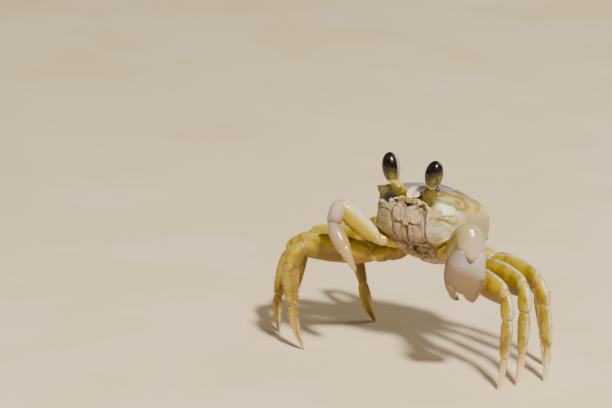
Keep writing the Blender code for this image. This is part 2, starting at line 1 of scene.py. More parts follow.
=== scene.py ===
# %% [markdown]
# # An Atlantic ghost crab in its living colours
# This lesson dresses a plain solid crab. Every plate of the shell is drawn again as a fine mesh from
# the same sizes as the solid, with its ridges, rims and grooves. Geometry Nodes then add what
# repeats: bristles, grains of the shell and the teeth of the claws.

# %% Load the solids
import math

import bpy
import numpy as np
from mathutils import Matrix, Vector


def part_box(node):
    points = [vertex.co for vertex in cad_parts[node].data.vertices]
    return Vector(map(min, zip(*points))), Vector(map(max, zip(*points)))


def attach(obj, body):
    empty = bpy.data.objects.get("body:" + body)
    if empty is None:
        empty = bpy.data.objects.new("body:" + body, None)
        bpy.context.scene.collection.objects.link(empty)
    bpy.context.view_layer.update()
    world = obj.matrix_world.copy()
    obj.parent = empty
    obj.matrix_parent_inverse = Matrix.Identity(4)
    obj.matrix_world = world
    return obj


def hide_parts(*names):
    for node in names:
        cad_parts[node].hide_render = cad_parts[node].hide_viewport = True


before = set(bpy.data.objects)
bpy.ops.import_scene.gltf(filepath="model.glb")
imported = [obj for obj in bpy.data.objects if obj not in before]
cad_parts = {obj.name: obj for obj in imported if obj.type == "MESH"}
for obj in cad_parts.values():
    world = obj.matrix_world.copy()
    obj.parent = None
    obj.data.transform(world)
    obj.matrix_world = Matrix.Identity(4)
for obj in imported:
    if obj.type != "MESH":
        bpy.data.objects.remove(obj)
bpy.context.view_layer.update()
print("solid nodes:", len(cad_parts))

# %% [markdown]
# ## One drawing frame
# All sizes below are millimetres, drawn about a point between the crab's feet. The solids were slid
# sideways afterwards so that their outline is centred, and the left eye shows how far: its box is
# centred on the eye's drawn middle. The trunk is drawn level, and then tipped nose-up and raised.

# %% Where drawn millimetres lie in the frame
MM = 0.001
EYE_MIDDLE = Vector((10.2, -18.5, 79.5))
EYE_HALF = Vector((3.7, 3.5, 5.8))
eye_low, eye_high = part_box("eye_left")
SLIDE = (eye_low + eye_high) / 2 - EYE_MIDDLE * MM
TRUNK_HEIGHT = 57.0
TRUNK_PITCH = math.radians(17)
TRUNK_TO_DRAWN = Matrix.Translation((0, 0, TRUNK_HEIGHT)) @ Matrix.Rotation(-TRUNK_PITCH, 4, "X")


def from_trunk(places):
    """Places in the level trunk's own frame, as drawn places."""
    turn = np.array(TRUNK_TO_DRAWN.to_3x3())
    return np.asarray(places) @ turn.T + np.array(TRUNK_TO_DRAWN.translation)


print("slid by", [round(value * 1000, 2) for value in SLIDE], "mm")

# %% [markdown]
# ## Meshes from grids
# A shell plate is a tube of rings, so each is kept as a grid of points: rows along it and columns
# around it. NumPy shapes whole grids at once, which a loop over vertices could not do in time. Numbers
# that a material needs, such as how far along the limb a point is, are stored on the points.


# %% A closed skin from a grid
def grid_faces(rows, columns):
    """Quads between rings, and fans to the two poles that follow them in the vertex list."""
    across = np.arange(columns)
    onward = (across + 1) % columns
    quads = []
    for row in range(rows - 1):
        low, high = row * columns, (row + 1) * columns
        quads += np.stack((low + across, low + onward, high + onward, high + across), 1).tolist()
    first, last = rows * columns, rows * columns + 1
    end = (rows - 1) * columns
    fans = [(onward[i], across[i], first) for i in range(columns)]
    fans += [(end + across[i], end + onward[i], last) for i in range(columns)]
    return quads + fans


def looks_inward(grid):
    """Whether quads made in grid order would face into the tube."""
    middle = grid.mean(1, keepdims=True)
    along = np.gradient(grid, axis=0)
    around = np.roll(grid, -1, 1) - grid
    return (np.cross(around, along) * (grid - middle)).sum() < 0


def set_out(name, data):
    """A new object in the scene."""
    made = bpy.data.objects.new(name, data)
    bpy.context.scene.collection.objects.link(made)
    return made


def store(mesh, name, kind, values):
    """Keeps numbers on the points of a mesh."""
    layer = mesh.attributes.new(name, kind, "POINT")
    field = "value" if kind == "FLOAT" else "vector"
    layer.data.foreach_set(field, values.astype(np.float32).reshape(-1))


def skin(name, grid, material, marks=None):
    """A closed mesh over a grid of drawn millimetres, with marks stored on its points."""
    rows, columns, _ = grid.shape
    ends = np.array((grid[0].mean(0), grid[-1].mean(0)))
    drawn = np.concatenate((grid.reshape(-1, 3), ends))
    places = drawn * MM + np.array(SLIDE)
    faces = grid_faces(rows, columns)
    if looks_inward(grid):
        faces = [face[::-1] for face in faces]
    mesh = bpy.data.meshes.new(name)
    mesh.from_pydata(places.tolist(), [], faces)
    mesh.shade_smooth()
    for key, values in (marks or {}).items():
        values = np.broadcast_to(values, (rows, columns))
        flat = np.concatenate((values.reshape(-1), (values[0].mean(), values[-1].mean())))
        store(mesh, key, "FLOAT", flat)
    row_share = np.repeat(np.linspace(0, 1, rows), columns)
    column_share = np.tile(np.arange(columns) / columns, rows)
    unwrap = np.stack((np.append(column_share, (0.5, 0.5)), np.append(row_share, (0, 1))), 1)
    store(mesh, "root_place", "FLOAT2", unwrap)
    mesh.materials.append(material)
    return set_out(name, mesh)


def mark_flow(made, direction):
    """Stores the way that bristles lean."""
    ways = np.tile(np.asarray(direction, float), (len(made.data.vertices), 1))
    store(made.data, "flow", "FLOAT_VECTOR", ways)


def present(made, slot, *nodes):
    """Sets a piece on the solid crab in place of these nodes."""
    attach(made, "root")
    if nodes:
        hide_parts(*nodes)
    return made


def join(name, pieces):
    """Several meshes as one piece."""
    bpy.ops.object.select_all(action="DESELECT")
    for piece in pieces:
        piece.select_set(True)
    bpy.context.view_layer.objects.active = pieces[0]
    if len(pieces) > 1:
        bpy.ops.object.join()
    pieces[0].name = name
    pieces[0].data.name = name
    return pieces[0]


print("grid tools ready")

# %% [markdown]
# ### Smooth forms
# A form table gives sizes at a few stations only. The line through them is smoothed, so no ring shows
# a corner, and one easing curve fades every ridge and colour. Small round pieces start as a ball.


# %% Curves, easing and balls
def smooth_line(stations, values, places, softness=29):
    """Values between stations, with the corners rounded."""
    fine = np.linspace(stations[0], stations[-1], 401)
    line = np.interp(fine, stations, values)
    kernel = np.hanning(softness + 2)[1:-1]
    padded = np.pad(line, softness // 2, mode="reflect", reflect_type="odd")
    return np.interp(places, fine, np.convolve(padded, kernel / kernel.sum(), "valid"))


def rounded(values, power):
    return np.sign(values) * np.abs(values) ** (2.0 / power)


def bell(values, middle, width):
    return np.exp(-((values - middle) / width) ** 2)


def step_up(values, low, high):
    """0 below low and 1 above high, eased between."""
    share = np.clip((values - low) / (high - low), 0, 1)
    return share * share * (3 - 2 * share)


def ring_angles(columns):
    """Even turns round a tube."""
    return 2 * np.pi * np.arange(columns) / columns


def ball_grid(rows, columns):
    """A ball of radius 1, in rings from its top to its foot."""
    lean = np.pi * (np.arange(rows) + 0.5) / rows
    around = ring_angles(columns)
    return np.stack((np.sin(lean)[:, None] * np.cos(around), np.sin(lean)[:, None] * np.sin(around),
                     np.repeat(np.cos(lean)[:, None], columns, 1)), -1)


def unit(way):
    """The same way with a length of 1."""
    return way / np.linalg.norm(way, axis=-1, keepdims=True)


print("curve tools ready")

# %% [markdown]
# ## Materials
# A crab's shell is chitin hardened with chalk. It is tanned by its pigments, slightly see-through at
# the edges and as glossy as a fingernail, with an IOR of about 1.55. A Principled shader with a
# little subsurface light gives that glow. Colours are mixed by the marks stored on the points, such
# as the crest of a limb, and broken up by noise at the scale of the real blotches.


# %% Colour and node helpers
def linear(code):
    """An sRGB hex colour as linear numbers."""
    made = []
    for k in (0, 2, 4):
        value = int(code[k:k + 2], 16) / 255
        made.append(value / 12.92 if value <= 0.04045 else ((value + 0.055) / 1.055) ** 2.4)
    return (*made, 1.0)


def add_node(tree, kind, inputs=None, **settings):
    """Adds a node, sets its properties, and sets or links its inputs."""
    made = tree.nodes.new(kind)
    for key, value in settings.items():
        setattr(made, key, value)
    for key, value in (inputs or {}).items():
        if isinstance(value, bpy.types.NodeSocket):
            tree.links.new(value, made.inputs[key])
        else:
            made.inputs[key].default_value = value
    return made


def new_material(name):
    """A material with only an output and a Principled shader."""
    made = bpy.data.materials.new(name)
    made.use_nodes = True
    made.node_tree.nodes.clear()
    tree = made.node_tree
    shader = add_node(tree, "ShaderNodeBsdfPrincipled")
    add_node(tree, "ShaderNodeOutputMaterial", {"Surface": shader.outputs[0]})
    return made, tree, shader


def mark(tree, name):
    return add_node(tree, "ShaderNodeAttribute", attribute_name=name).outputs["Fac"]


def ramp(tree, value, low, high, most=1.0):
    """value eased from 0 at low to most at high."""
    made = add_node(tree, "ShaderNodeMapRange", {0: value, 1: low, 2: high, 4: most},
                    interpolation_type="SMOOTHSTEP")
    return made.outputs[0]


def times(tree, first, second, operation="MULTIPLY"):
    return add_node(tree, "ShaderNodeMath", {0: first, 1: second}, operation=operation).outputs[0]


def paint(tree, base, *layers):
    """Lays colours over a base, each as far as its share says."""
    body = linear(base) if isinstance(base, str) else base
    for share, colour in layers:
        over = linear(colour) if isinstance(colour, str) else colour
        body = add_node(tree, "ShaderNodeMix", {0: share, 6: body, 7: over},
                        data_type="RGBA").outputs[2]
    return body


def pattern(tree, size_mm, kind="ShaderNodeTexNoise", detail=3.0, **settings):
    """Noise or cells of about size_mm across, fixed to the piece."""
    place = add_node(tree, "ShaderNodeTexCoord").outputs["Object"]
    inputs = {"Vector": place, "Scale": 1000.0 / size_mm}
    if kind == "ShaderNodeTexNoise":
        inputs["Detail"] = detail
    made = add_node(tree, kind, inputs, **settings)
    return made.outputs[0]


def bump(tree, shader, layers):
    """Stacks height patterns: each is a socket and its depth in millimetres."""
    normal = None
    for height, depth_mm in layers:
        inputs = {"Height": height, "Distance": depth_mm * MM, "Strength": 1.0}
        if normal is not None:
            inputs["Normal"] = normal
        normal = add_node(tree, "ShaderNodeBump", inputs).outputs[0]
    tree.links.new(normal, shader.inputs["Normal"])


CHITIN_IOR = 1.55
GLOW_REACH_MM = (1.2, 0.8, 0.3)


def shell_shader(tree, shader, body, roughness, glow):
    """Colour and gloss of chitin, and how much light spreads under its surface."""
    tree.links.new(body, shader.inputs["Base Color"])
    shader.inputs["Roughness"].default_value = roughness
    shader.inputs["IOR"].default_value = CHITIN_IOR
    shader.inputs["Subsurface Weight"].default_value = glow
    shader.inputs["Subsurface Radius"].default_value = GLOW_REACH_MM
    shader.inputs["Subsurface Scale"].default_value = MM


print("node helpers ready")

# %% [markdown]
# ### Leg shell
# Tanned, chalk-hardened chitin, grown in place. The legs are straw yellow with amber blotches; painted
# shade in amber darkens their lower side, and a painted highlight in milky blue-white runs along the
# upper edge. Fine dark flecks lie under the surface and short wrinkles run across the thighs.

# %% Leg and claw materials
SEAM_BROWN = "94683C"


def make_leg_shell(name, straw, amber_and_shade, milk_highlight, fleck, roughness=0.34, highlight_share=1.0, patches=1.0,
                   tip=None, highlight_from=0.95, relief_mm=0.09, lip=None, tip_reach=(0.15, 0.66)):
    """Limb chitin: painted highlight on the crest, painted shade in amber below, perhaps a tan tip and a
    brown lip.
    """
    made, tree, shader = new_material(name)
    crest, along = mark(tree, "crest"), mark(tree, "along")
    blotch, fine = pattern(tree, 4.5), pattern(tree, 0.9, detail=4.0)
    # edge is a painted highlight in the milky colour along the crest; the milky colour also pales both
    # ends.
    edge = times(tree, ramp(tree, crest, highlight_from, 1.0, highlight_share),
                 times(tree, ramp(tree, blotch, 0.70, 0.42), 0.35, "ADD"))
    joint = times(tree, ramp(tree, along, 0.93, 1.0), ramp(tree, along, 0.08, 0.0), "MAXIMUM")
    # Amber is laid twice: in blotches, and as painted shade on the lower side where the crest mark is
    # low.
    body = paint(tree, straw, (ramp(tree, blotch, 0.40, 0.70, patches), amber_and_shade),
                 (ramp(tree, crest, 0.45, -0.35, 0.90), amber_and_shade), (edge, milk_highlight),
                 (ramp(tree, fine, 0.60, 0.74, 0.25), fleck), (times(tree, joint, 0.25), milk_highlight),
                 (mark(tree, "seam"), SEAM_BROWN))
    if tip:
        side = mark(tree, "side")
        slanted = times(tree, along, times(tree, side, 0.12), "ADD")
        tan = times(tree, ramp(tree, slanted, *tip_reach), ramp(tree, side, -1.05, -0.45, 0.95))
        body = paint(tree, body, (tan, tip))
    if lip:
        body = paint(tree, body, (ramp(tree, along, 0.90, 0.97, 0.7), lip))
    shell_shader(tree, shader, body, roughness, 0.20)
    wrinkle = pattern(tree, 0.55, "ShaderNodeTexVoronoi")
    bump(tree, shader, ((fine, relief_mm), (wrinkle, 0.5 * relief_mm)))
    return made


leg_shell = make_leg_shell("chitin leg shell, straw yellow", "B29A00", "705200", "BCC0B4", "5C4800",
                           highlight_share=0.55, patches=0.75)
toe_shell = make_leg_shell("chitin toe shell, golden straw", "BFA53A", "8A6A1C", "CFC29A", "6A5010",
                           highlight_share=0.3, patches=0.6, tip="E6D6AE")
# On the arms the painted highlight covers the upper half and more.
arm_shell = make_leg_shell("chitin arm shell, pale straw", "C2AE1C", "967E00", "D2C6A6", "8A7526",
                           0.28, 0.85, 0.5, highlight_from=-0.1, relief_mm=0.05)
wrist_shell = make_leg_shell("chitin wrist shell, ivory green", "9C9667", "867A44", "B0AA8A",
                             "8A7C4C", 0.20, patches=0.7, tip="AE9A84", relief_mm=0.04, lip="96683A",
                             tip_reach=(0.35, 0.80))
# On the big hand the tan lower part is partly its own colour and partly painted shade.
hand_shell = make_leg_shell("chitin hand shell, ivory to tan, painted shade below", "ABA5A1", "988A7E", "CFC8C4",
                            "A08874", 0.22, patches=0.3, tip="776046", relief_mm=0.03,
                            tip_reach=(-0.04, 0.32))
small_hand_shell = make_leg_shell("chitin hand shell, lilac to cream", "AC9C86", "968264", "C8BEB2",
                                  "94784E", 0.22, patches=0.4, tip="A88E58", relief_mm=0.03)
small_wrist_shell = make_leg_shell("chitin wrist shell, lilac white", "B2A69C", "A0907C", "CCC4BC",
                                   "8A7C6C", 0.22, patches=0.4, relief_mm=0.04, lip="96683A")
print("leg, arm, wrist and hand shells mixed")

# %% [markdown]
# ### Trunk shell
# The shield is the same chitin, but its colour lies in fields: lavender grey on the back, cream on
# the cheeks, brownish pink in a fine net on the flanks, and yellow along every rim. Each field is a
# mark on the points, so a single material follows the shape wherever it bends.

# %% Shield and underside materials
# A dark brown laid as a stain with painted shade: below the mouth, low on the shield's front and on the
# mouth plates.
STAIN_AND_SHADE_BROWN = "482C14"


def make_shield():
    made, tree, shader = new_material("chitin shield, grey and yellow")
    blotch, fine = pattern(tree, 5.0), pattern(tree, 0.7, detail=5.0)
    cells = pattern(tree, 1.1, "ShaderNodeTexVoronoi", feature="DISTANCE_TO_EDGE")
    veins = ramp(tree, cells, 0.10, 0.0)
    cream = paint(tree, "CFC6B2", (ramp(tree, blotch, 0.35, 0.65), "B0A478"),
                  (ramp(tree, fine, 0.50, 0.66, 0.5), "9C9280"), (times(tree, veins, 0.18), "7F766A"))
    grey = paint(tree, "8F8784", (ramp(tree, blotch, 0.40, 0.66), "655850"),
                 (ramp(tree, fine, 0.55, 0.70, 0.5), "C2BBB0"))
    brown = paint(tree, "9C8266", (times(tree, veins, 0.55), "C4B49C"),
                  (ramp(tree, fine, 0.56, 0.7, 0.5), "7A5A44"))
    green = paint(tree, "B5A02C", (ramp(tree, blotch, 0.38, 0.66), "7F6C24"))
    gold = paint(tree, "C6A800", (ramp(tree, blotch, 0.4, 0.6), "8F7A04"))
    # In the sockets, the shade and deep marks lay painted shade: under the roof, towards the inner side,
    # and deep in the right socket.
    pit = paint(tree, "F2F0D4", (ramp(tree, fine, 0.42, 0.68), "D8D4A8"),
                (mark(tree, "shade"), "7A7024"), (mark(tree, "deep"), "3E3424"))
    patchy = times(tree, mark(tree, "olive"), ramp(tree, blotch, 0.30, 0.62))
    # The dark brown laid on the crab's right cheek in this mix is painted shade.
    body = paint(tree, cream, (mark(tree, "flank"), brown), (mark(tree, "back"), grey),
                 (patchy, green), (mark(tree, "hollow"), pit), (mark(tree, "pink"), "DAC2B6"),
                 (mark(tree, "rim"), gold), (mark(tree, "stain"), STAIN_AND_SHADE_BROWN),
                 (times(tree, mark(tree, "furrow"), 0.5), "5F5148"), (mark(tree, "dusk"), "6E5A38"))
    shell_shader(tree, shader, body, 0.42, 0.12)
    grains = pattern(tree, 0.8, "ShaderNodeTexVoronoi")
    bump(tree, shader, ((fine, 0.08), (grains, 0.08)))
    return made


def make_underside(name, light, dark, seam):
    made, tree, shader = new_material(name)
    blotch, fine = pattern(tree, 3.5), pattern(tree, 0.6, detail=5.0)
    body = paint(tree, light, (ramp(tree, blotch, 0.35, 0.7), dark),
                 (ramp(tree, fine, 0.52, 0.72, 0.55), seam), (mark(tree, "groove"), seam),
                 (mark(tree, "stain"), STAIN_AND_SHADE_BROWN))
    shell_shader(tree, shader, body, 0.42, 0.12)
    bump(tree, shader, ((fine, 0.12),))
    return made


shield_shell = make_shield()
brow_shell = make_underside("chitin brow bar, straw cream", "CDBB82", "A58C48", "6E5426")
grain_shell = make_underside("chitin grains, ivory", "D2C8B6", "BCAC94", "A08C70")
breast_shell = make_underside("chitin breastplate, cream", "B8AA8C", "867250", "5A4630")
mouth_shell = make_underside("chitin mouth plates, rosy cream", "D0BEA6", "B0957A", "62401F")
print("trunk shells mixed")

# %% [markdown]
# ### Eyes, joint skin and bristles
# The eye's window is a clear, wet-looking layer over black-brown pigment, greyer where the stalk
# wraps up behind it and olive at its foot. A clear coat gives the sharp glint. The skin in the joints
# is soft and uncoloured. Bristles are chitin rods as thin as a hair, golden where light passes.


# %% Eye, skin and bristle materials
def make_eye_window():
    made, tree, shader = new_material("clear eye window over dark pigment")
    fine, blotch = pattern(tree, 0.35, detail=4.0), pattern(tree, 2.0)
    dark = paint(tree, "0C0705", (ramp(tree, blotch, 0.4, 0.65), "20130A"))
    olive = paint(tree, "74682A", (ramp(tree, blotch, 0.30, 0.80), "32240E"))
    grey = paint(tree, "A2978A", (ramp(tree, fine, 0.36, 0.70), "7C7066"))
    low = times(tree, mark(tree, "olive"), times(tree, blotch, 0.45), "ADD")
    body = paint(tree, dark, (ramp(tree, low, 0.20, -0.50), olive),
                 (ramp(tree, mark(tree, "wrap"), 0.40, 0.58), grey),
                 (ramp(tree, mark(tree, "height"), -0.66, -0.80), "C4BCA8"))
    tree.links.new(body, shader.inputs["Base Color"])
    shader.inputs["Roughness"].default_value = 0.24
    shader.inputs["IOR"].default_value = 1.38
    shader.inputs["Coat Weight"].default_value = 0.35
    shader.inputs["Coat Roughness"].default_value = 0.12
    bump(tree, shader, ((fine, 0.02),))
    return made


def make_joint_skin(name, light, dark):
    made, tree, shader = new_material(name)
    fine = pattern(tree, 0.5, detail=4.0)
    body = paint(tree, light, (ramp(tree, fine, 0.35, 0.7), dark))
    shell_shader(tree, shader, body, 0.5, 0.3)
    bump(tree, shader, ((fine, 0.04),))
    return made


def make_bristle(name, root, tip):
    made, tree, shader = new_material(name)
    body = paint(tree, root, (ramp(tree, pattern(tree, 1.6), 0.35, 0.65), tip))
    tree.links.new(body, shader.inputs["Base Color"])
    shader.inputs["Roughness"].default_value = 0.45
    shader.inputs["IOR"].default_value = CHITIN_IOR
    return made


eye_window = make_eye_window()
stalk_shell = make_leg_shell("chitin eyestalk, olive yellow", "B89E00", "50440A", "B4A648", "3E3008")
joint_skin = make_joint_skin("soft joint skin, straw", "BCA648", "9A8028")
dark_knob_finish = make_joint_skin("dark knob, slate grey", "4A464A", "2A2628")
straw_bristle = make_bristle("chitin bristles, straw", "8C6C1C", "C4A758")
brown_bristle = make_bristle("chitin bristles, brown", "5A3E22", "9A7548")
print("eye, skin and bristle materials mixed")

# %% [markdown]
# ## The trunk
# The shield and breastplate share one set of level outlines. Each is squarer in front and narrower
# behind, and the numbers between outlines are eased, so the skin has no steps. For each column around
# the trunk, the row where the shield ends is looked up on the split line, which gives its true rim.

# %% The trunk's outlines
TRUNK_RINGS = np.array((
    (6.5, -11.0, 3.0, 11.2, 11.5, 10.5, 2.4, 2.1),
    (12.4, -15.2, 7.6, 10.2, 10.0, 7.7, 3.2, 2.3),
    (16.8, -17.4, 11.4, 9.2, 8.2, 4.1, 4.4, 2.6),
    (19.2, -17.9, 14.3, 8.3, 6.6, 1.2, 5.4, 2.8),
    (20.4, -18.5, 16.8, 6.3, 3.6, -1.2, 5.0, 2.8),
    (21.1, -20.4, 18.3, 2.6, -0.4, -3.8, 3.8, 2.7),
    (21.1, -21.4, 18.8, -1.8, -4.8, -7.0, 3.1, 2.7),
    (20.2, -20.0, 18.0, -6.8, -9.4, -10.8, 2.9, 2.8),
    (17.6, -16.8, 15.2, -11.4, -13.2, -13.8, 2.8, 2.8),
    (13.0, -12.2, 11.6, -15.2, -16.2, -16.0, 2.7, 2.7),
    (7.5, -7.5, 7.8, -17.6, -18.0, -17.6, 2.4, 2.4),
))
TRUNK_TOP = (0.0, -3.4, 12.0)
TRUNK_FOOT = (0.0, -0.5, -18.6)
REAR_NARROWING = 0.28
SPLIT_FRONT = np.array(((0.0, -12.8), (8.3, -12.6), (12.5, -11.2), (16.6, -8.2), (19.2, -5.6),
                        (26.0, -5.4)))
SPLIT_LEVEL = -6.4
TRUNK_COLUMNS = 360
TRUNK_MIDDLE = np.array((0.0, -1.0, 0.0))
INWARD_SHARE = np.array((1 / 20, 1 / 18, 0.0))
RIM_SOFTNESS = 13


def trunk_places(stations, turns):
    """Points of the trunk where rings 0 to 10 are stations, and -1 and 11 are its two poles."""
    first = np.array((0.05, *[TRUNK_TOP[1]] * 2, *[TRUNK_TOP[2]] * 3, 2.0, 2.0))
    last = np.array((0.05, *[TRUNK_FOOT[1]] * 2, *[TRUNK_FOOT[2]] * 3, 2.0, 2.0))
    table = np.vstack((first, TRUNK_RINGS, last))
    marks = np.arange(-1, 12)
    half, front, rear, high_front, high_side, high_rear, front_power, rear_power = [
        smooth_line(marks, table[:, k], stations, 21) for k in range(8)]
    power = np.where(np.sin(turns) > 0, rear_power, front_power)
    away = rounded(np.sin(turns), power)
    share = np.abs(np.sin(turns)) ** 1.6
    end = np.where(away > 0, high_rear, high_front)
    width = half * (1 - REAR_NARROWING * np.maximum(away, 0) ** 2)
    x = width * rounded(np.cos(turns), power)
    y = (front + rear) / 2 + (rear - front) / 2 * away
    return np.stack((x, y, high_side + (end - high_side) * share), -1)


def split_height(places):
    """The height of the shield's lower edge at these places."""
    front = np.interp(np.abs(places[..., 0]), SPLIT_FRONT[:, 0], SPLIT_FRONT[:, 1])
    share = np.clip((places[..., 1] + 10) / 10, 0, 1)
    return front + (SPLIT_LEVEL - front) * share


turns = ring_angles(TRUNK_COLUMNS)
stations = np.linspace(-1, 11, 481)
probe = trunk_places(stations[:, None], turns[None, :])
below = probe[..., 2] < split_height(probe)
split_station = stations[np.argmax(below, axis=0)]
kernel = np.hanning(RIM_SOFTNESS)
wrapped = np.pad(split_station, RIM_SOFTNESS // 2, mode="wrap")
split_station = np.convolve(wrapped, kernel / kernel.sum(), "valid")
print("the shield ends at ring", round(split_station.min(), 2), "to", round(split_station.max(), 2))

# %% [markdown]
# ### Sculpting the shield
# The solid shield is smooth. The real one has deep eye sockets with raised rims, a tooth at each
# outer corner, a tongue between the stalks, a crest that parts back from flank, and shallow furrows
# that mark the organs below. Each is a move of the grid: a bell-shaped push near a line or a place.
# The sockets move points straight back until they lie on an ellipsoid, so no cut edges appear.

# %% Eye sockets, tongue, teeth and furrows
SOCKET_MIDDLE = np.array((13.4, -18.8, 5.0))
SOCKET_HALF = np.array((7.0, 5.2, 3.5))
SOCKET_TURN = math.radians(13)
DIM_SOCKET = {-1: 0.72, 1: 0.0}
SOCKET_RIM_RISE = (0.60, 0.35)
TOOTH_ROOT = np.array((19.4, -14.4, 6.1))
TOOTH_REACH = np.array((0.9, -2.9, 0.9))
TOOTH_WIDTH = 1.6
CORNER_MIDDLE = np.array((18.8, -11.5, 6.6))
CORNER_HALF = np.array((2.6, 4.5, 1.9))
CHEEK = ((13.2, -6.0), (5.6, 4.9), 1.25)
CHEEK_BAR = ((14.6, -0.35), (5.6, 1.25), 0.55, 2.0)
CHEEK_FOLDS = ((-3.4, 0.22), (-6.4, 0.34), (-9.0, 0.42))
FOLD_DEPTH = 0.32
FURROWS = ((((4.5, -9), (6.5, -4), (5.2, 0.5), (3.2, 3.5), (4.2, 8)), 0.32),
           (((6.2, -4.5), (11, -3.0), (15.5, -5.5)), 0.24),
           (((3.4, 3.0), (8.5, 5.5), (12.5, 9.5)), 0.16))
FURROW_WIDTH = 1.15
CREST_RISE = (0.35, 0.25)
MOUTH_HALF_WIDTH = 7.5
MOUTH_SINK = 2.3
MOUTH_TOP = np.array((0.0, -23.0, 3.2))
MOUTH_FOOT = np.array((0.0, -17.4, -11.2))
mouth_up = unit(MOUTH_TOP - MOUTH_FOOT)
mouth_in = np.cross(mouth_up, (1.0, 0.0, 0.0))
mouth_in = mouth_in * np.sign(mouth_in[1])
mouth_middle = (MOUTH_TOP + MOUTH_FOOT) / 2
mouth_tall = np.linalg.norm(MOUTH_TOP - MOUTH_FOOT) / 2


def socket_terms(places, side):
    """How far out a place is from the socket's ellipsoid, and what moves it back onto that."""
    turn = SOCKET_TURN * side
    middle = SOCKET_MIDDLE * np.array((side, 1, 1))
    rest = places - middle
    spin = np.array(((math.cos(turn), math.sin(turn), 0), (-math.sin(turn), math.cos(turn), 0),
                     (0, 0, 1)))
    local = rest @ spin.T / SOCKET_HALF
    push = spin @ np.array((0.0, 1.0, 0.0)) / SOCKET_HALF
    a, b, c = push @ push, 2 * local @ push, (local ** 2).sum(-1) - 1
    root = np.sqrt(np.maximum(b * b - 4 * a * c, 0))
    back = np.where(c < 0, (-b + root) / (2 * a), 0.0)
    return np.sqrt(c + 1), back


def line_gap(x, y, path):
    """How far each place is from a smoothed path drawn on one half of the shield."""
    line = np.array(path)
    fine = np.linspace(0, len(line) - 1, 40)
    at_x = smooth_line(np.arange(len(line)), line[:, 0], fine)
    at_y = smooth_line(np.arange(len(line)), line[:, 1], fine)
    gap = np.full(x.shape, 99.0)
    for px, py in zip(at_x, at_y):
        gap = np.minimum(gap, np.hypot(x - px, y - py))
    return gap


def pillow_push(across, up, middle, half, height, power=2.4):
    """A cushion-shaped rise, and how near a place is to its edge."""
    out = ((np.abs(across - middle[0]) / half[0]) ** power
           + (np.abs(up - middle[1]) / half[1]) ** power) ** (1 / power)
    rise = height * np.clip(1 - out ** 2, 0, 1) ** 0.55
    return rise, out


def sculpt_socket(grid, made, side):
    """Hollows one socket and pulls its tooth. Gives the shares of rim, hollow and shadow."""
    y, z = grid[..., 1], grid[..., 2]
    wide = np.abs(grid[..., 0])
    flip = np.array((side, 1, 1))
    reach, back = socket_terms(grid, side)
    here = (y < -9) & (grid[..., 0] * side > 2)
    raised = here * bell(reach, 1.10, 0.085)
    raised = raised * (0.25 + 0.75 * np.maximum(step_up(z, 4.0, 6.0), bell(wide, 15.2, 1.6)))
    made[..., 1] += here * back - SOCKET_RIM_RISE[0] * raised
    made[..., 2] += SOCKET_RIM_RISE[1] * raised * np.sign(z - SOCKET_MIDDLE[2])
    above = step_up(z, 4.2, 6.2)
    outer_edge = 1.26 + 0.16 * step_up(wide, 13, 19)
    upper = step_up(reach, 0.97, 1.03) * step_up(-reach, -outer_edge - 0.08, -outer_edge + 0.06)
    lower = bell(reach, 1.20, 0.17) * step_up(wide, 12.5, 14.0) * step_up(-wide, -19.0, -16.0)
    tooth = bell(np.linalg.norm(grid - TOOTH_ROOT * flip, axis=-1), 0, TOOTH_WIDTH)
    made += tooth[..., None] * TOOTH_REACH * flip
    rim = np.maximum(here * (upper * above + lower * (1 - above)), tooth)
    hollow = here * step_up(back, 0.15, 0.9)
    return rim, hollow, here * DIM_SOCKET[side] * step_up(back, 1.2, 3.8)


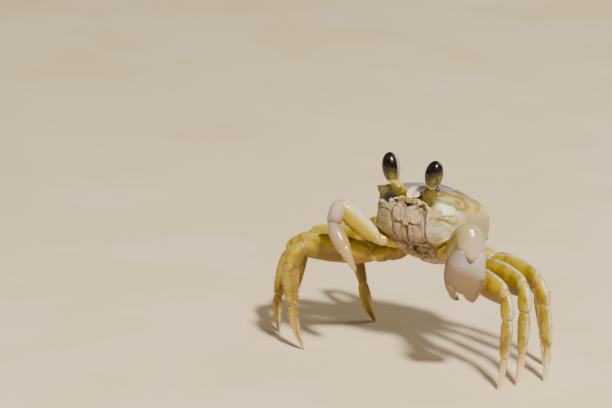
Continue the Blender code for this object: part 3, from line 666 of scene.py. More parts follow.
def sculpt_trunk(grid, stations_of):
    """The trunk's grid with its relief, and the marks for its colours."""
    made = grid.copy()
    x, y, z = (grid[..., k] for k in range(3))
    wide = np.abs(x)
    front = step_up(-y, 9, 12)
    cheek, cheek_edge = pillow_push(wide, z, *CHEEK)
    bar, bar_edge = pillow_push(wide, z, *CHEEK_BAR)
    made[..., 1] -= (cheek + bar) * front
    made[..., 0] += 0.35 * cheek * front * np.sign(x)
    sides = [sculpt_socket(grid, made, side) for side in (-1, 1)]
    # deep is painted shade in the depth of the right socket.
    rim, hollow, deep = (np.maximum(*pair) for pair in zip(*sides))
    corner = (np.stack((wide, y, z), -1) - CORNER_MIDDLE) / CORNER_HALF
    beside = step_up(y, -17, -14) * (wide > 12)
    crest = bell(stations_of, 3.65, 0.30) * step_up(-y, -9, 2) * beside
    made[..., 0] += CREST_RISE[0] * crest * np.sign(x)
    made[..., 2] += CREST_RISE[1] * crest
    rim = np.maximum.reduce((
        rim,
        0.85 * bell(cheek_edge, 1.04, 0.12) * front * step_up(-z, 8.2, 10.5),
        0.75 * bell(bar_edge, 0.95, 0.28) * front * step_up(z, -0.6, 0.2) * step_up(wide, 11.0, 13.5),
        0.95 * bell(np.linalg.norm(corner, axis=-1), 0, 1.0),
        0.6 * bell(np.hypot((wide - 9.4) / 1.3, (z - 1.6) / 1.6), 0, 1.0) * front,
        bell(stations_of, 3.45, 0.60) * step_up(-y, -8, 5) * beside))
    olive = np.maximum.reduce((
        bell(stations_of, 2.6, 1.1) * step_up(wide, 7.0, 13.0) * step_up(-y, -12, 0),
        0.90 * bell(z, -0.8, 1.7) * front * step_up(wide, 8.8, 10.5),
        bell(stations_of, 1.7, 0.9) * step_up(-y, -2, 4) * step_up(wide, 7.5, 12)))
    # roof and shade are painted shade: under the socket's upper rim, on the left only at its outer
    # corner, and towards the inner side.
    roof = step_up(z, 5.6, 7.8) * np.where(x > 0, step_up(wide, 15.0, 17.0), 1.0)
    shade = np.maximum(roof, step_up(-wide, -10.5, -7.5))
    furrow = sum(depth * bell(line_gap(wide, y, path), 0, FURROW_WIDTH) for path, depth in FURROWS)
    furrow = furrow * (stations_of < 3.2)
    made[..., 2] -= furrow
    groove = bell(cheek_edge, 1.05, 0.07) * step_up(z, -4.0, -2.0) * front
    for level, tilt in CHEEK_FOLDS:
        fold = bell(z, level + tilt * (wide - 12) + 0.5 * np.sin(wide * 0.9), 0.20)
        groove = np.maximum(groove, fold * front * step_up(-cheek_edge, -0.95, -0.5))
    made[..., 1] += FOLD_DEPTH * groove
    rest = grid - mouth_middle
    inside = step_up(-wide, -MOUTH_HALF_WIDTH - 0.5, -MOUTH_HALF_WIDTH + 0.3) * (y < -8)
    inside = inside * step_up(-np.abs(rest @ mouth_up), -mouth_tall - 0.5, -mouth_tall + 0.2)
    made += ((MOUTH_SINK - rest @ mouth_in) * inside)[..., None] * mouth_in
    # Low at the front of the crab's right cheek, a darker brown is painted shade.
    marks = {"rim": rim, "back": step_up(-stations_of, -3.3, -2.3), "hollow": hollow, "shade": shade,
             "flank": step_up(stations_of, 3.6, 4.6) * step_up(y, -15.5, -9.5), "deep": deep,
             "pink": np.zeros(x.shape), "olive": olive, "furrow": 1.2 * furrow + 0.45 * groove,
             "dusk": 0.66 * front * step_up(-x, 6.5, 9.5) * step_up(-z, -3.0, 0.5)}
    return made, {key: np.clip(values, 0, 1) for key, values in marks.items()}


print("the mouth frame is", round(2 * mouth_tall, 1), "mm tall and", 2 * MOUTH_HALF_WIDTH, "mm wide")

# %% [markdown]
# ### Building the shield
# Rows run from the middle of the back to the split line, close enough together to carry the relief.
# Three more rings turn the rim inward, so its edge looks as thick as a real shell's.

# %% Shield
SHIELD_ROWS = 210
SHIELD_LIP = 0.45
RIM_CURL = ((0.35, 0.05), (0.9, -0.15), (2.2, -0.6))
share = np.linspace(0, 1, SHIELD_ROWS)[:, None]
shield_stations = -1 + (split_station[None, :] + 1) * share
grid, marks = sculpt_trunk(trunk_places(shield_stations, turns[None, :]), shield_stations)
inward = (TRUNK_MIDDLE - grid) * INWARD_SHARE
grid = grid - inward * (SHIELD_LIP * bell(share, 0.972, 0.016))[..., None]
low_edge = step_up(share, 0.955, 0.98) * (np.abs(grid[..., 0]) > 8.6) * step_up(-grid[..., 1], 4, 12)
marks["rim"] = np.maximum(marks["rim"], 0.9 * low_edge)
# A ragged brown band low on the shield's front is a stain with painted shade.
ragged = 0.75 + 0.25 * np.sin(grid[..., 0] * 0.9 + 2.0 * np.sin(grid[..., 0] * 0.53 + grid[..., 2]))
marks["stain"] = (np.clip(1.3 * step_up(-grid[..., 2], 9.4, 11.4) * ragged, 0, 1)
                  * step_up(-np.abs(grid[..., 0]), -13.5, -10.0) * (grid[..., 1] < -4))
curl = [grid[-1] + inward[-1] * reach - np.array((0, 0, drop)) for reach, drop in RIM_CURL]
grid = np.concatenate((grid, np.array(curl)))
marks = {key: np.concatenate((values, np.repeat(values[-1:], len(RIM_CURL), 0)))
         for key, values in marks.items()}
marks["grain"] = (0.15 + 0.85 * marks["flank"]) * (1 - marks["hollow"])
carapace = skin("carapace_shell", from_trunk(grid), shield_shell, marks)
print("shield:", len(carapace.data.polygons), "faces")

# %% [markdown]
# ### The tongue of the front
# Between the stalks the shield runs down into a narrow tongue with a raised edge and a shallow gutter
# along its middle. A tube of flat ovals, one below another, follows the solid's rows and then joins
# the shield.

# %% Tongue between the stalks
TONGUE_ROWS = np.array(((9.4, -12.6, 3.6, 1.3), (10.1, -15.0, 4.4, 1.4), (9.7, -17.6, 4.4, 1.5),
                        (8.5, -20.3, 3.6, 1.5), (6.8, -22.1, 3.0, 1.4), (5.3, -22.8, 2.3, 1.1)))
TONGUE_COLUMNS = 72
spots = np.linspace(0, 5, 60)
tongue_z, tongue_y, tongue_half, tongue_thick = [
    smooth_line(np.arange(6), TONGUE_ROWS[:, k], spots, 41)[:, None] for k in range(4)]
spots = spots[:, None]
end_round = np.sqrt(np.clip(1 - ((spots - 4.2) / 0.85).clip(0, 1) ** 2, 0.02, 1))
around = ring_angles(TONGUE_COLUMNS)
across, proud = rounded(np.cos(around), 2.6), rounded(np.sin(around), 2.6)
out = np.abs(across)
lip = 1 + 0.45 * bell(out, 0.66, 0.16) - 0.75 * bell(across, 0, 0.26)
tongue = np.stack((across * tongue_half * end_round, tongue_y + tongue_thick + proud * lip * tongue_thick,
                   np.repeat(tongue_z, TONGUE_COLUMNS, 1)), -1)
tongue_marks = {key: 0.0 for key in marks}
tongue_marks["pink"] = step_up(spots, 1.0, 2.5) * (0.45 + 0.55 * bell(out, 0.66, 0.25))
tongue_marks["furrow"] = 0.6 * bell(across, 0, 0.22) * step_up(spots, 1.5, 3)
tongue_marks["back"] = step_up(-spots, -2.0, -0.5)
tongue_marks["rim"] = np.maximum(0.6 * bell(out, 1.0, 0.14) * step_up(-spots, -4.2, -1.0),
                                 0.7 * bell(across, -0.8, 0.30) * bell(spots, 1.6, 0.9))
tongue_skin = skin("tongue", from_trunk(tongue), shield_shell, tongue_marks)
print("tongue:", len(tongue_skin.data.polygons), "faces")

# %% [markdown]
# ### Lobes by the eyes
# A small rounded lobe sits at the inner foot of each socket, the left one larger and pinker. Each is
# a flattened ball with a slight wave in it. They join the shield.

# %% Socket lobes
LOBE_HALF = (2.4, 1.1, 1.5)
LOBE_TILT = 0.14
LOBE_SIZE = {-1: 0.62, 1: 1.0}
LOBE_PLACE = {-1: (-10.0, -19.6, 2.7), 1: (11.5, -19.3, 2.5)}
ball = ball_grid(24, 72)
lobes = []
for side in (-1, 1):
    lobe = ball * LOBE_HALF * (1 + 0.10 * np.sin(3.2 * ball[..., :1] + 4.1 * ball[..., 2:]))
    lobe = lobe + (0, 0, 1) * (LOBE_TILT * side * lobe[..., :1])
    lobe = lobe * LOBE_SIZE[side] + np.array(LOBE_PLACE[side])
    lobe_marks = {key: 0.0 for key in marks}
    lobe_marks["pink"] = 0.7 * bell(ball[..., 0], 0.0, 0.6) if side > 0 else 0.1
    lobe_marks["rim"] = 0.55 * bell(np.abs(ball[..., 0]), 1.0, 0.4)
    lobes.append(skin("socket_lobe", from_trunk(lobe), shield_shell, lobe_marks))
carapace = join("carapace_shell", [carapace, tongue_skin, *lobes])
present(carapace, "carapace_shell", "carapace")
print("shield with tongue and lobes:", len(carapace.data.polygons), "faces")

# %% [markdown]
# ### Breastplate
# Below the shield lies the breastplate, made of segments whose seams run out to the legs. It starts a
# little above the split line, inset, so the shield's rim overlaps it. Its front is hairy, stained brown
# and darkened with painted shade.

# %% Breastplate
CHEST_ROWS = 90
CHEST_OVERLAP = 0.55
CHEST_INSET = 0.8
CHEST_SEAMS = (-9.6, -4.6, 1.6, 8.0, 12.2)
SEAM_DEPTH = 0.55
PALE_PATCH = np.array((-5.5, -13.2, -15.0))
share = np.linspace(0, 1, CHEST_ROWS)[:, None]
first_station = split_station[None, :] - CHEST_OVERLAP
chest = trunk_places(first_station + (11 - first_station) * share, turns[None, :])
chest = (chest - TRUNK_MIDDLE) * (1 - CHEST_INSET * INWARD_SHARE) + TRUNK_MIDDLE
low = step_up(chest[..., 2], -10.5, -13.5)
seams = bell(chest[..., 0], 0, 0.4) * (chest[..., 1] < -6)
for seam_y in CHEST_SEAMS:
    drawn = seam_y + 0.12 * np.abs(chest[..., 0])
    seams = np.maximum(seams, bell(chest[..., 1], drawn, 0.32))
seams = seams * low
chest[..., 2] += SEAM_DEPTH * seams - 0.35 * low * np.abs(np.sin(chest[..., 0] * 0.55))
front_low = step_up(-chest[..., 2], 8.5, 11.0) * (chest[..., 1] < -4)
# A brown stain with painted shade below the mouth, with a pale patch left out.
stain = bell(np.hypot(chest[..., 0] / 15, (chest[..., 1] + 15.0) / 5.0), 0, 1.0) * front_low
pale = bell(np.linalg.norm(chest - PALE_PATCH, axis=-1), 0, 2.8)
stain = np.clip(1.25 * stain, 0, 1) * (1 - 0.85 * pale)
waves = np.sin(chest[..., 1] * 0.9 + chest[..., 0] * 0.4)
ragged = 0.7 + 0.3 * np.sin(chest[..., 0] * 0.8 + 2.2 * waves)
breastplate = skin("thorax_shell", from_trunk(chest), breast_shell,
                   {"groove": 0.8 * seams, "stain": 0.9 * stain * ragged, "hair": stain * ragged})
mark_flow(breastplate, (0.0, -0.5, -0.6))
present(breastplate, "pale_underside_shell", "thorax")
print("breastplate:", len(breastplate.data.polygons), "faces")

# %% [markdown]
# ### Tail
# The tail is folded forward against the breastplate. Saw-tooth steps in its form make its plates step
# down one after another, like roof tiles.

# %% Tail
ABDOMEN_PATH = np.array((
    (16.9, -7.4, 8.2, 1.1), (16.2, -10.4, 7.9, 1.2), (13.9, -13.5, 7.6, 1.2),
    (11.0, -15.8, 7.2, 1.2), (7.6, -17.3, 6.6, 1.2), (3.9, -18.1, 5.6, 1.2),
    (0.2, -18.4, 4.3, 1.1), (-3.4, -18.2, 2.9, 1.0), (-6.4, -17.5, 1.2, 0.8)))
TAIL_ROWS, TAIL_COLUMNS = 145, 40
PLATE_STEP = 0.20
spots = np.linspace(0.02, 7.98, TAIL_ROWS)
tail_y, tail_z, tail_half, tail_thick = [
    smooth_line(np.arange(9), ABDOMEN_PATH[:, k], spots, 41) for k in range(4)]
ahead = unit(np.stack((np.gradient(tail_y), np.gradient(tail_z)), -1))
step = PLATE_STEP * (1 - (spots % 1.0)) - 0.08
tail_turns = ring_angles(TAIL_COLUMNS)
wide = rounded(np.cos(tail_turns), 2.6) * (tail_half + step * 0.8)[:, None]
deep = rounded(np.sin(tail_turns), 2.6) * (tail_thick + step)[:, None]
tail = np.stack((wide, tail_y[:, None] - deep * ahead[:, 1:2], tail_z[:, None] + deep * ahead[:, 0:1]),
                -1)
plate_edge = bell(spots % 1.0, 0.97, 0.05)[:, None]
abdomen = skin("abdomen_shell", from_trunk(tail), breast_shell,
               {"groove": 0.5 * plate_edge, "stain": 0.0})
present(abdomen, "pale_underside_shell", "abdomen")
print("tail:", len(abdomen.data.polygons), "faces")

# %% [markdown]
# ### Mouth doors
# Two doors of flat plates close the mouth: a long lower plate, a shorter upper one and a small jointed
# feeler folded down along the middle. A pillow is the natural form for a plate: a rounded rectangle
# whose top bulges a little. One function makes them all from their middle, size and lean.

# %% Mouth plates
MOUTH_BULGE = 1.6
PLATE_BACK = 2.6
GUTTER_PLACE = -0.9


def pillow_grid(half_x, half_y, bulge, back, corner=4.0, rows=26, columns=48, taper=0.0, edge=0.42):
    """A plate in its own frame: x and y across it and z proud of it."""
    around = ring_angles(columns)
    made = []
    for k in range(rows):
        lean = math.pi * (k + 0.5) / rows - math.pi / 2
        size = abs(math.cos(lean)) ** edge
        height = math.sin(lean)
        ring_x = half_x * size * rounded(np.cos(around), corner)
        ring_y = half_y * size * rounded(np.sin(around), corner)
        ring_x = ring_x * (1 - taper * ring_y / half_y)
        deep = np.full(columns, height * (bulge if height > 0 else back))
        made.append(np.stack((ring_x, ring_y, deep), -1))
    return np.array(made)


def on_mouth(local, x, up, proud, lean):
    """Places a plate on the mouth: x across, up along the doors, proud of their plane."""
    across = local[..., 0] * math.cos(lean) - local[..., 1] * math.sin(lean) + x
    along = local[..., 0] * math.sin(lean) + local[..., 1] * math.cos(lean) + up
    bulge = MOUTH_BULGE * (1 - (across / 10.5) ** 2 - (along / 12.0) ** 2)
    places = (mouth_middle + np.multiply.outer(across, (1.0, 0.0, 0.0))
              + np.multiply.outer(along, mouth_up)
              - np.multiply.outer(local[..., 2] + proud + bulge, mouth_in))
    return from_trunk(places)


MOUTH_PLATES = (
    # across, up, proud, half width, half height, bulge, lean, narrowing, gutters
    (3.50, -3.75, -0.35, 3.40, 3.95, 0.80, 0.05, 0.10, 1.0),
    (3.95, 3.45, -0.1, 2.85, 3.35, 0.85, -0.04, 0.08, 0.0),
    (6.95, -1.2, -0.9, 0.62, 6.4, 0.9, 0.03, 0.30, 0.0),
    (2.9, 6.80, 0.1, 1.7, 0.75, 0.7, 0.40, 0.1, 0.0),
    (1.50, 3.9, 0.55, 0.50, 3.1, 0.75, 0.05, 0.15, 0.0),
    (0.55, 2.9, 0.75, 0.42, 3.6, 0.6, 0.02, 0.40, 0.0),
)
mouth_doors = []
for side, word in ((-1, "right"), (1, "left")):
    plates = []
    for x, up, proud, half_x, half_y, bulge, lean, taper, gutter in MOUTH_PLATES:
        local = pillow_grid(half_x, half_y, bulge, PLATE_BACK, 5.2, 34, 72, taper, 0.30)
        flat = local[..., 2] > 0
        gutter_mark = gutter * bell(local[..., 0], GUTTER_PLACE, 0.40)
        out = np.hypot(local[..., 0] / half_x, local[..., 1] / half_y)
        streak = np.sin(local[..., 0] * 4.3 + 0.8 * np.sin(local[..., 1] * 1.1 + x))
        groove = (0.75 * bell(out, 1.08, 0.18) + 0.5 * gutter_mark
                  + 0.30 * step_up(streak, 0.75, 1.0) * flat)
        local[..., 2] += flat * (0.05 * np.sin(local[..., 1] * 2.3 + x) - 0.26 * gutter_mark
                                 - 0.06 * step_up(streak, 0.6, 1.0))
        local[..., 0] += 0.05 * half_x * np.sin(local[..., 1] * 1.3 + 2.0 * x)
        local[..., 1] += 0.04 * half_y * np.sin(local[..., 0] * 1.9 + x + 0.5 * side)
        local[..., 0] *= side
        # Each mouth plate is darkened towards its lower end by a stain with painted shade.
        plate_marks = {"groove": np.clip(groove, 0, 1),
                       "stain": 0.60 * step_up(-local[..., 1] - up, -1.0, 7.0),
                       "hair": 0.5 * bell(out, 1.1, 0.15) * (up < 0)}
        placed = on_mouth(local, side * x, up, proud, side * lean)
        plates.append(skin("mouth_plate", placed, mouth_shell, plate_marks))
    door = join(f"maxilliped_{word}_plates", plates)
    mark_flow(door, (0.0, -0.4, -0.7))
    present(door, "pale_underside_shell", f"maxilliped_{word}")
    mouth_doors.append(door)
print("mouth plates:", sum(len(door.data.polygons) for door in mouth_doors), "faces")

# %% [markdown]
# ### Brow bar and feelers
# Above the doors a knobbly bar closes the mouth frame. The two pairs of feelers start at its ends:
# the outer pair are fine jointed whips a few millimetres long, and the inner ones fold sideways. A
# feeler is a tube with a ring of relief at each joint.

# %% Brow bar and feelers
EPISTOME_MIDDLE = np.array((0.0, -21.2, 4.3))
FEELERS = (
    # name, root, joints counted from it, radii, rows, rings of relief
    ("outer_feeler", (6.1, 0.4, 0.0), ((0, 0, 0), (0.8, -0.6, -0.1), (1.6, -0.9, -0.4),
                                       (2.3, -0.9, -1.0)), (0.50, 0.38, 0.30, 0.24), 70, 11),
    ("inner_feeler", (2.2, -0.4, 0.6), ((0, 0, 0), (1.2, -0.5, 0.2), (2.3, -0.2, 0.1)),
     (0.56, 0.46, 0.30), 50, 7),
)


def tube_grid(path, radii, rows, columns, beads=0.0, bead_count=8):
    """A tube along a smoothed path."""
    knots = np.arange(len(path))
    spots = np.linspace(0, len(path) - 1, rows)
    places = np.stack([smooth_line(knots, path[:, k], spots, 61) for k in range(3)], -1)
    radius = smooth_line(knots, radii, spots, 61)
    radius = radius * (1 + beads * np.sin(2 * np.pi * bead_count * spots / (len(path) - 1)))
    radius[0], radius[-1] = radius[0] * 0.7, radius[-1] * 0.5
    way = unit(np.gradient(places, axis=0))
    side = unit(np.cross(way, (0.13, 0.21, 0.97)))
    other = np.cross(way, side)
    around = ring_angles(columns)
    ring = (np.cos(around)[None, :, None] * side[:, None, :]
            + np.sin(around)[None, :, None] * other[:, None, :])
    return places[:, None, :] + ring * radius[:, None, None]


bar = pillow_grid(6.6, 1.05, 0.75, 0.8, corner=3.0, columns=140)
knobs = np.abs(np.sin(bar[..., 0] * 1.3))
bar[..., 2] += 0.30 * np.sin(bar[..., 0] * 3.4 + bar[..., 1]) * knobs
bar[..., 1] += 0.20 * np.sin(bar[..., 0] * 2.3) + 0.10 * np.sin(bar[..., 0] * 5.1)
bar_forward = 0.9 * (1 - (bar[..., 0] / 7.5) ** 2)
bar_place = np.stack((bar[..., 0], -bar[..., 2] - bar_forward, bar[..., 1]), -1) + EPISTOME_MIDDLE
bar_pieces = [skin("brow_bar", from_trunk(bar_place), brow_shell, {"groove": 0.5 * knobs, "stain": 0.0})]
for side in (-1, 1):
    for name, root, joints, radii, rows, rings in FEELERS:
        path = EPISTOME_MIDDLE + (np.array(root) + np.array(joints)) * (side, 1, 1)
        grid = tube_grid(path, radii, rows, 12, 0.10, rings)
        bar_pieces.append(skin(name, from_trunk(grid), brow_shell, {"groove": 0.0, "stain": 0.0}))
brow = join("epistome_and_feelers", bar_pieces)
present(brow, "pale_underside_shell", "epistome")
print("brow bar and feelers:", len(brow.data.polygons), "faces")

# %% [markdown]
# ## Eyes on stalks
# A ghost crab's eye is a tall club. The window covers the front and outer face, and the stalk's shell
# runs up behind it as a grey strip. Height and wrap are stored on the points, so the pattern can't
# slide when the piece is seen from another side.

# %% Eyes and stalks
EYE_LEAN = {"right": math.radians(8), "left": math.radians(13)}
EYE_TALL = {"right": 1.08, "left": 1.04}
EYE_DROP = {"right": 0.75, "left": 0.2}
OLIVE_SIDE = {"right": 0.1, "left": 0.55}
WINDOW_EDGE = 0.47
STALK_PATH = np.array(((5.0, -14.4, 65.8), (6.0, -15.9, 67.7), (7.1, -17.0, 69.6), (8.0, -17.5, 71.6),
                       (8.7, -17.8, 73.4), (9.1, -17.9, 75.2)))
STALK_RADII = np.array((1.8, 2.6, 2.9, 2.6, 2.0, 1.5))
STALK_GIRTH = {"right": 0.87, "left": 1.0}
# How light each stalk is painted; the left one is kept darker as painted shade.
STALK_PAINTED_LIGHT = {"right": -0.10, "left": -0.75}
STALK_ROWS = 60
KNOB_PLACE, KNOB_HALF = (10.4, -16.6, 73.2), (1.3, 1.1, 1.3)
ball = ball_grid(72, 72)


def make_eye(side, word):
    """A tall club, a little swollen where the stalk's strip wraps up behind the window."""
    narrow = 1 - 0.10 * step_up(ball[..., 2], 0.2, -1.0)
    tall = np.full_like(narrow, EYE_TALL[word])
    shape = ball * np.array(EYE_HALF) * np.stack((narrow, narrow, tall), -1)
    wrap = ball @ np.array((-0.62 * side, 0.78, 0.0))
    swell = 1 + 0.035 * step_up(wrap, 0.44, 0.60) - 0.03 * bell(wrap, WINDOW_EDGE, 0.05)
    turn = np.array(Matrix.Rotation(EYE_LEAN[word] * side, 3, "Y"))
    place = (shape * swell[..., None]) @ turn.T + np.array(EYE_MIDDLE) * (side, 1, 1)
    olive = ball[..., 2] - OLIVE_SIDE[word] * ball[..., 0]
    return skin(f"eye_{word}_window", place - (0, 0, EYE_DROP[word]), eye_window,
                {"height": ball[..., 2], "wrap": wrap, "olive": olive})


def make_stalk(side, word):
    """A bent tube with one joint, and on the left a dark knob behind it."""
    grid = tube_grid(STALK_PATH * (side, 1, 1), STALK_RADII * STALK_GIRTH[word], STALK_ROWS, 36)
    spots = np.linspace(0, 1, STALK_ROWS)[:, None]
    ring = grid - grid.mean(1, keepdims=True)
    sway = 0.03 * np.sin(ring[..., :1] * 1.3) + 0.02 * np.sin(ring[..., 1:2] * 2.1 + 1.0)
    grid = grid + ring * (0.05 * bell(spots[..., None], 0.56 + sway, 0.04)
                          - 0.08 * bell(spots[..., None], 0.40 + sway, 0.03))
    # The stalk's colour carries painted light and shade: lighter on one side and towards the eye, and
    # darker on the left stalk as painted shade.
    upness = ring[..., 1] / np.abs(ring[..., 1]).max()
    painted_light = STALK_PAINTED_LIGHT[word] + 0.35 * upness + 0.5 * step_up(spots, 0.30, 0.62)
    pieces = [skin(f"eyestalk_{word}_shell", grid, stalk_shell,
                   {"crest": painted_light, "along": 0.1 + 0.8 * spots})]
    # On the left, a small dark grey knob sits behind the stalk.
    if side > 0:
        pieces.append(skin("stalk_knob", ball * KNOB_HALF + KNOB_PLACE, dark_knob_finish))
    return join(pieces[0].name, pieces)


for side, word in ((-1, "right"), (1, "left")):
    present(make_eye(side, word), "cornea", f"eye_{word}")
    present(make_stalk(side, word), "eyestalk_shell", f"eyestalk_{word}")
print("eyes and stalks made")

# %% [markdown]
# ## Limb pieces
# Every limb piece is a flattened tube whose breadth and thickness follow a short form table, the same
# as the solid's. The fine mesh adds a raised upper crest, a lip round the far end, faint lengthwise
# ridges and a dished end where the soft joint skin begins.

# %% Limb piece function
MERUS_FORM = ((0.0, 0.30, 0.34), (0.05, 0.52, 0.60), (0.16, 0.74, 0.82), (0.38, 0.95, 1.0),
              (0.62, 1.0, 1.0), (0.84, 0.90, 0.92), (0.96, 0.76, 0.80), (1.0, 0.60, 0.62))
CARPUS_FORM = ((0.0, 0.34, 0.40), (0.10, 0.62, 0.70), (0.35, 0.84, 0.92), (0.68, 1.0, 1.0),
               (0.92, 0.92, 0.92), (1.0, 0.72, 0.72))
PROPODUS_FORM = ((0.0, 0.36, 0.42), (0.07, 0.68, 0.76), (0.28, 1.0, 1.0), (0.60, 0.94, 0.94),
                 (0.90, 0.74, 0.80), (1.0, 0.58, 0.62))
DACTYL_FORM = ((0.0, 0.40, 0.46), (0.09, 0.86, 0.92), (0.28, 1.0, 1.0), (0.55, 0.80, 0.80),
               (0.80, 0.52, 0.54), (0.94, 0.28, 0.30), (1.0, 0.14, 0.16))
BASE_FORM = ((0.0, 0.70, 0.70), (0.18, 0.95, 0.95), (0.48, 1.0, 1.0), (0.60, 0.84, 0.84),
             (0.72, 0.96, 0.96), (0.92, 0.90, 0.90), (1.0, 0.66, 0.66))
WRIST_FORM = ((0.0, 0.42, 0.42), (0.06, 0.72, 0.72), (0.18, 0.95, 0.94), (0.38, 1.04, 1.0),
              (0.60, 0.98, 0.98), (0.76, 0.80, 0.92), (0.90, 0.46, 0.82), (1.0, 0.20, 0.62))
JOINT_INSET = 1.1


def limb_grid(start, end, normal, form, breadth, thick, bow=0.0, rows=54, columns=40, crest_high=0.22,
              lip=0.10, toe=False):
    """The grid of one limb piece, its marks and its axis."""
    start, end, normal = (np.asarray(v, float) for v in (start, end, normal))
    length = np.linalg.norm(end - start)
    axis = unit(end - start)
    normal = unit(normal - axis * (normal @ axis))
    broad = np.cross(normal, axis)
    share = np.linspace(0, 1, rows)
    share = 0.55 * share + 0.45 * (0.5 - 0.5 * np.cos(np.pi * share))
    form = np.array(form)
    wide = smooth_line(form[:, 0], form[:, 1], share, 25) * breadth / 2
    deep = smooth_line(form[:, 0], form[:, 2], share, 25) * thick / 2
    around = ring_angles(columns)
    cosine, sine = rounded(np.cos(around), 2.2), rounded(np.sin(around), 2.2)
    middle = start + np.outer(share * length, axis) + np.outer(bow * np.sin(np.pi * share), broad)
    reach = broad * cosine[:, None] * wide[:, None, None] + normal * sine[:, None] * deep[:, None, None]
    out = unit(reach)
    body = (step_up(share, 0.05, 0.2) * step_up(share, 1.0, 0.88))[:, None]
    off_crest = np.minimum(around, 2 * np.pi - around)
    relief = crest_high * bell(off_crest, 0, 0.30) * body
    relief = relief + 0.35 * crest_high * (bell(around, 2.6, 0.20) + bell(around, 3.7, 0.20)) * body
    relief = relief - 0.30 * crest_high * (bell(around, 1.1, 0.35) + bell(around, 5.2, 0.35)) * body
    if not toe:
        relief = relief + lip * bell(share, 0.965, 0.022)[:, None]
    grid = middle[:, None, :] + reach + out * relief[..., None]
    marks = {"crest": np.broadcast_to(np.cos(around), (rows, columns)),
             "side": np.broadcast_to(np.sin(around), (rows, columns)),
             "along": np.broadcast_to(share[:, None], (rows, columns))}
    if toe:
        dish = ((0.45, 0.22),)
    else:
        dish = ((0.86, 0.03), (0.70, -0.18), (0.45, -0.35))
    ends = [middle[-1] + axis * drop + (grid[-1] - middle[-1]) * size for size, drop in dish]
    head = middle[0] - axis * 0.2 + (grid[0] - middle[0]) * 0.6
    grid = np.concatenate((head[None], grid, np.array(ends)))
    marks = {key: np.concatenate((v[:1], v, np.repeat(v[-1:], len(dish), 0))) for key, v in marks.items()}
    return grid, marks, axis


def joint_pad(place, radius):
    """A wrinkled ball of soft skin that fills a joint."""
    rows = 16
    lean = np.pi * (np.arange(rows) + 0.5) / rows
    wrinkles = 1 + 0.02 * np.sin(lean * 14)
    pad = ball_grid(rows, 24) * wrinkles[:, None, None] * radius + np.asarray(place)
    return skin("pad", pad, joint_skin)


print("limb tools ready")

# %% [markdown]
# ### The eight walking legs
# A leg bends in one upright plane, so its joints are a short list of points. Each piece starts a
# little inside the one before. Where a leg has bristles, a mark says how thick they grow: a brush on
# the shins and toes of the first two right legs, and thin fringes elsewhere below the knee.

# %% Walking legs
LEG_JOINTS = {
    "leg_right_1": ((-12.5, -8.2, 42.0), (-21.0, -14.0, 40.0), (-45.8, -28.2, 42.6),
                    (-49.2, -31.8, 35.2), (-48.6, -31.6, 18.4), (-43.7, -30.2, 0.0)),
    "leg_right_2": ((-13.6, -1.6, 42.0), (-22.8, -4.2, 40.0), (-53.6, -12.0, 41.4),
                    (-62.2, -15.0, 33.7), (-66.6, -16.8, 15.6), (-65.0, -18.5, 0.0)),
    "leg_right_3": ((-13.4, 5.0, 42.0), (-22.4, 4.4, 40.0), (-53.0, -2.6, 41.0),
                    (-62.6, -5.5, 33.4), (-65.9, -7.1, 15.8), (-64.4, -8.2, 0.0)),
    "leg_right_4": ((-11.4, 11.4, 42.0), (-18.6, 13.8, 39.4), (-46.0, 17.5, 40.8),
                    (-54.4, 16.8, 33.8), (-47.8, 14.9, 15.0), (-42.4, 15.7, 0.0)),
    "leg_left_1": ((12.5, -8.2, 42.0), (21.0, -12.8, 40.4), (46.2, -21.0, 38.2),
                   (48.0, -22.2, 29.2), (47.0, -22.8, 13.6), (44.2, -22.8, 0.0)),
    "leg_left_2": ((13.6, -1.6, 42.0), (22.6, -3.6, 40.6), (49.0, -12.7, 39.8),
                   (50.2, -13.9, 30.8), (49.6, -14.5, 14.2), (47.2, -14.8, 0.0)),
    "leg_left_3": ((13.4, 5.0, 42.0), (22.4, 4.4, 40.6), (48.8, -2.0, 39.8),
                   (52.2, -3.2, 31.0), (54.2, -3.8, 14.2), (53.0, -4.2, 0.0)),
    "leg_left_4": ((11.4, 11.4, 42.0), (18.6, 12.4, 39.6), (35.0, 10.6, 37.4),
                   (40.0, 10.4, 30.4), (42.4, 10.8, 14.8), (42.6, 11.4, 0.0)),
}
LEG_GIRTHS = {
    "1": ((7.0, 6.2), (11.2, 5.0), (6.8, 4.7), (6.0, 3.9), (3.8, 2.7)),
    "2": ((7.4, 6.2), (11.2, 5.2), (7.0, 4.9), (6.2, 4.1), (4.0, 2.8)),
    "3": ((7.0, 6.0), (10.4, 4.9), (6.5, 4.7), (5.7, 3.8), (3.7, 2.7)),
    "4": ((5.8, 5.2), (7.2, 4.2), (5.2, 4.0), (4.7, 3.4), (3.8, 2.7)),
}
LEG_PIECES = ("base", "merus", "carpus", "propodus", "dactyl")
LEG_FORMS = (BASE_FORM, MERUS_FORM, CARPUS_FORM, PROPODUS_FORM, DACTYL_FORM)
LEG_BOWS = (0.0, 0.5, 0.3, 0.2, 0.85)
TOE_BREADTH = {"1": 0.80, "2": 0.85, "3": 0.90, "4": 1.12}
LEG_CRESTS = (0.12, 0.28, 0.20, 0.18, 0.16)
HIND_SHIN_BREADTH = 1.34
HIND_TOE_FORM = ((0.0, 0.46, 0.46), (0.09, 0.86, 0.92), (0.28, 1.0, 1.0), (0.55, 1.0, 0.84),
                 (0.76, 0.82, 0.60), (0.92, 0.42, 0.34), (1.0, 0.14, 0.16))
BRUSH = {"right_1": 1.0, "right_2": 0.8, "right_3": 0.35, "right_4": 0.08,
         "left_1": 0.10, "left_2": 0.10, "left_3": 0.08, "left_4": 0.08}
BASE_INSET = {"1": 2.0, "2": 2.0, "3": 2.5, "4": 4.5}
PAD_SHARE = 0.40


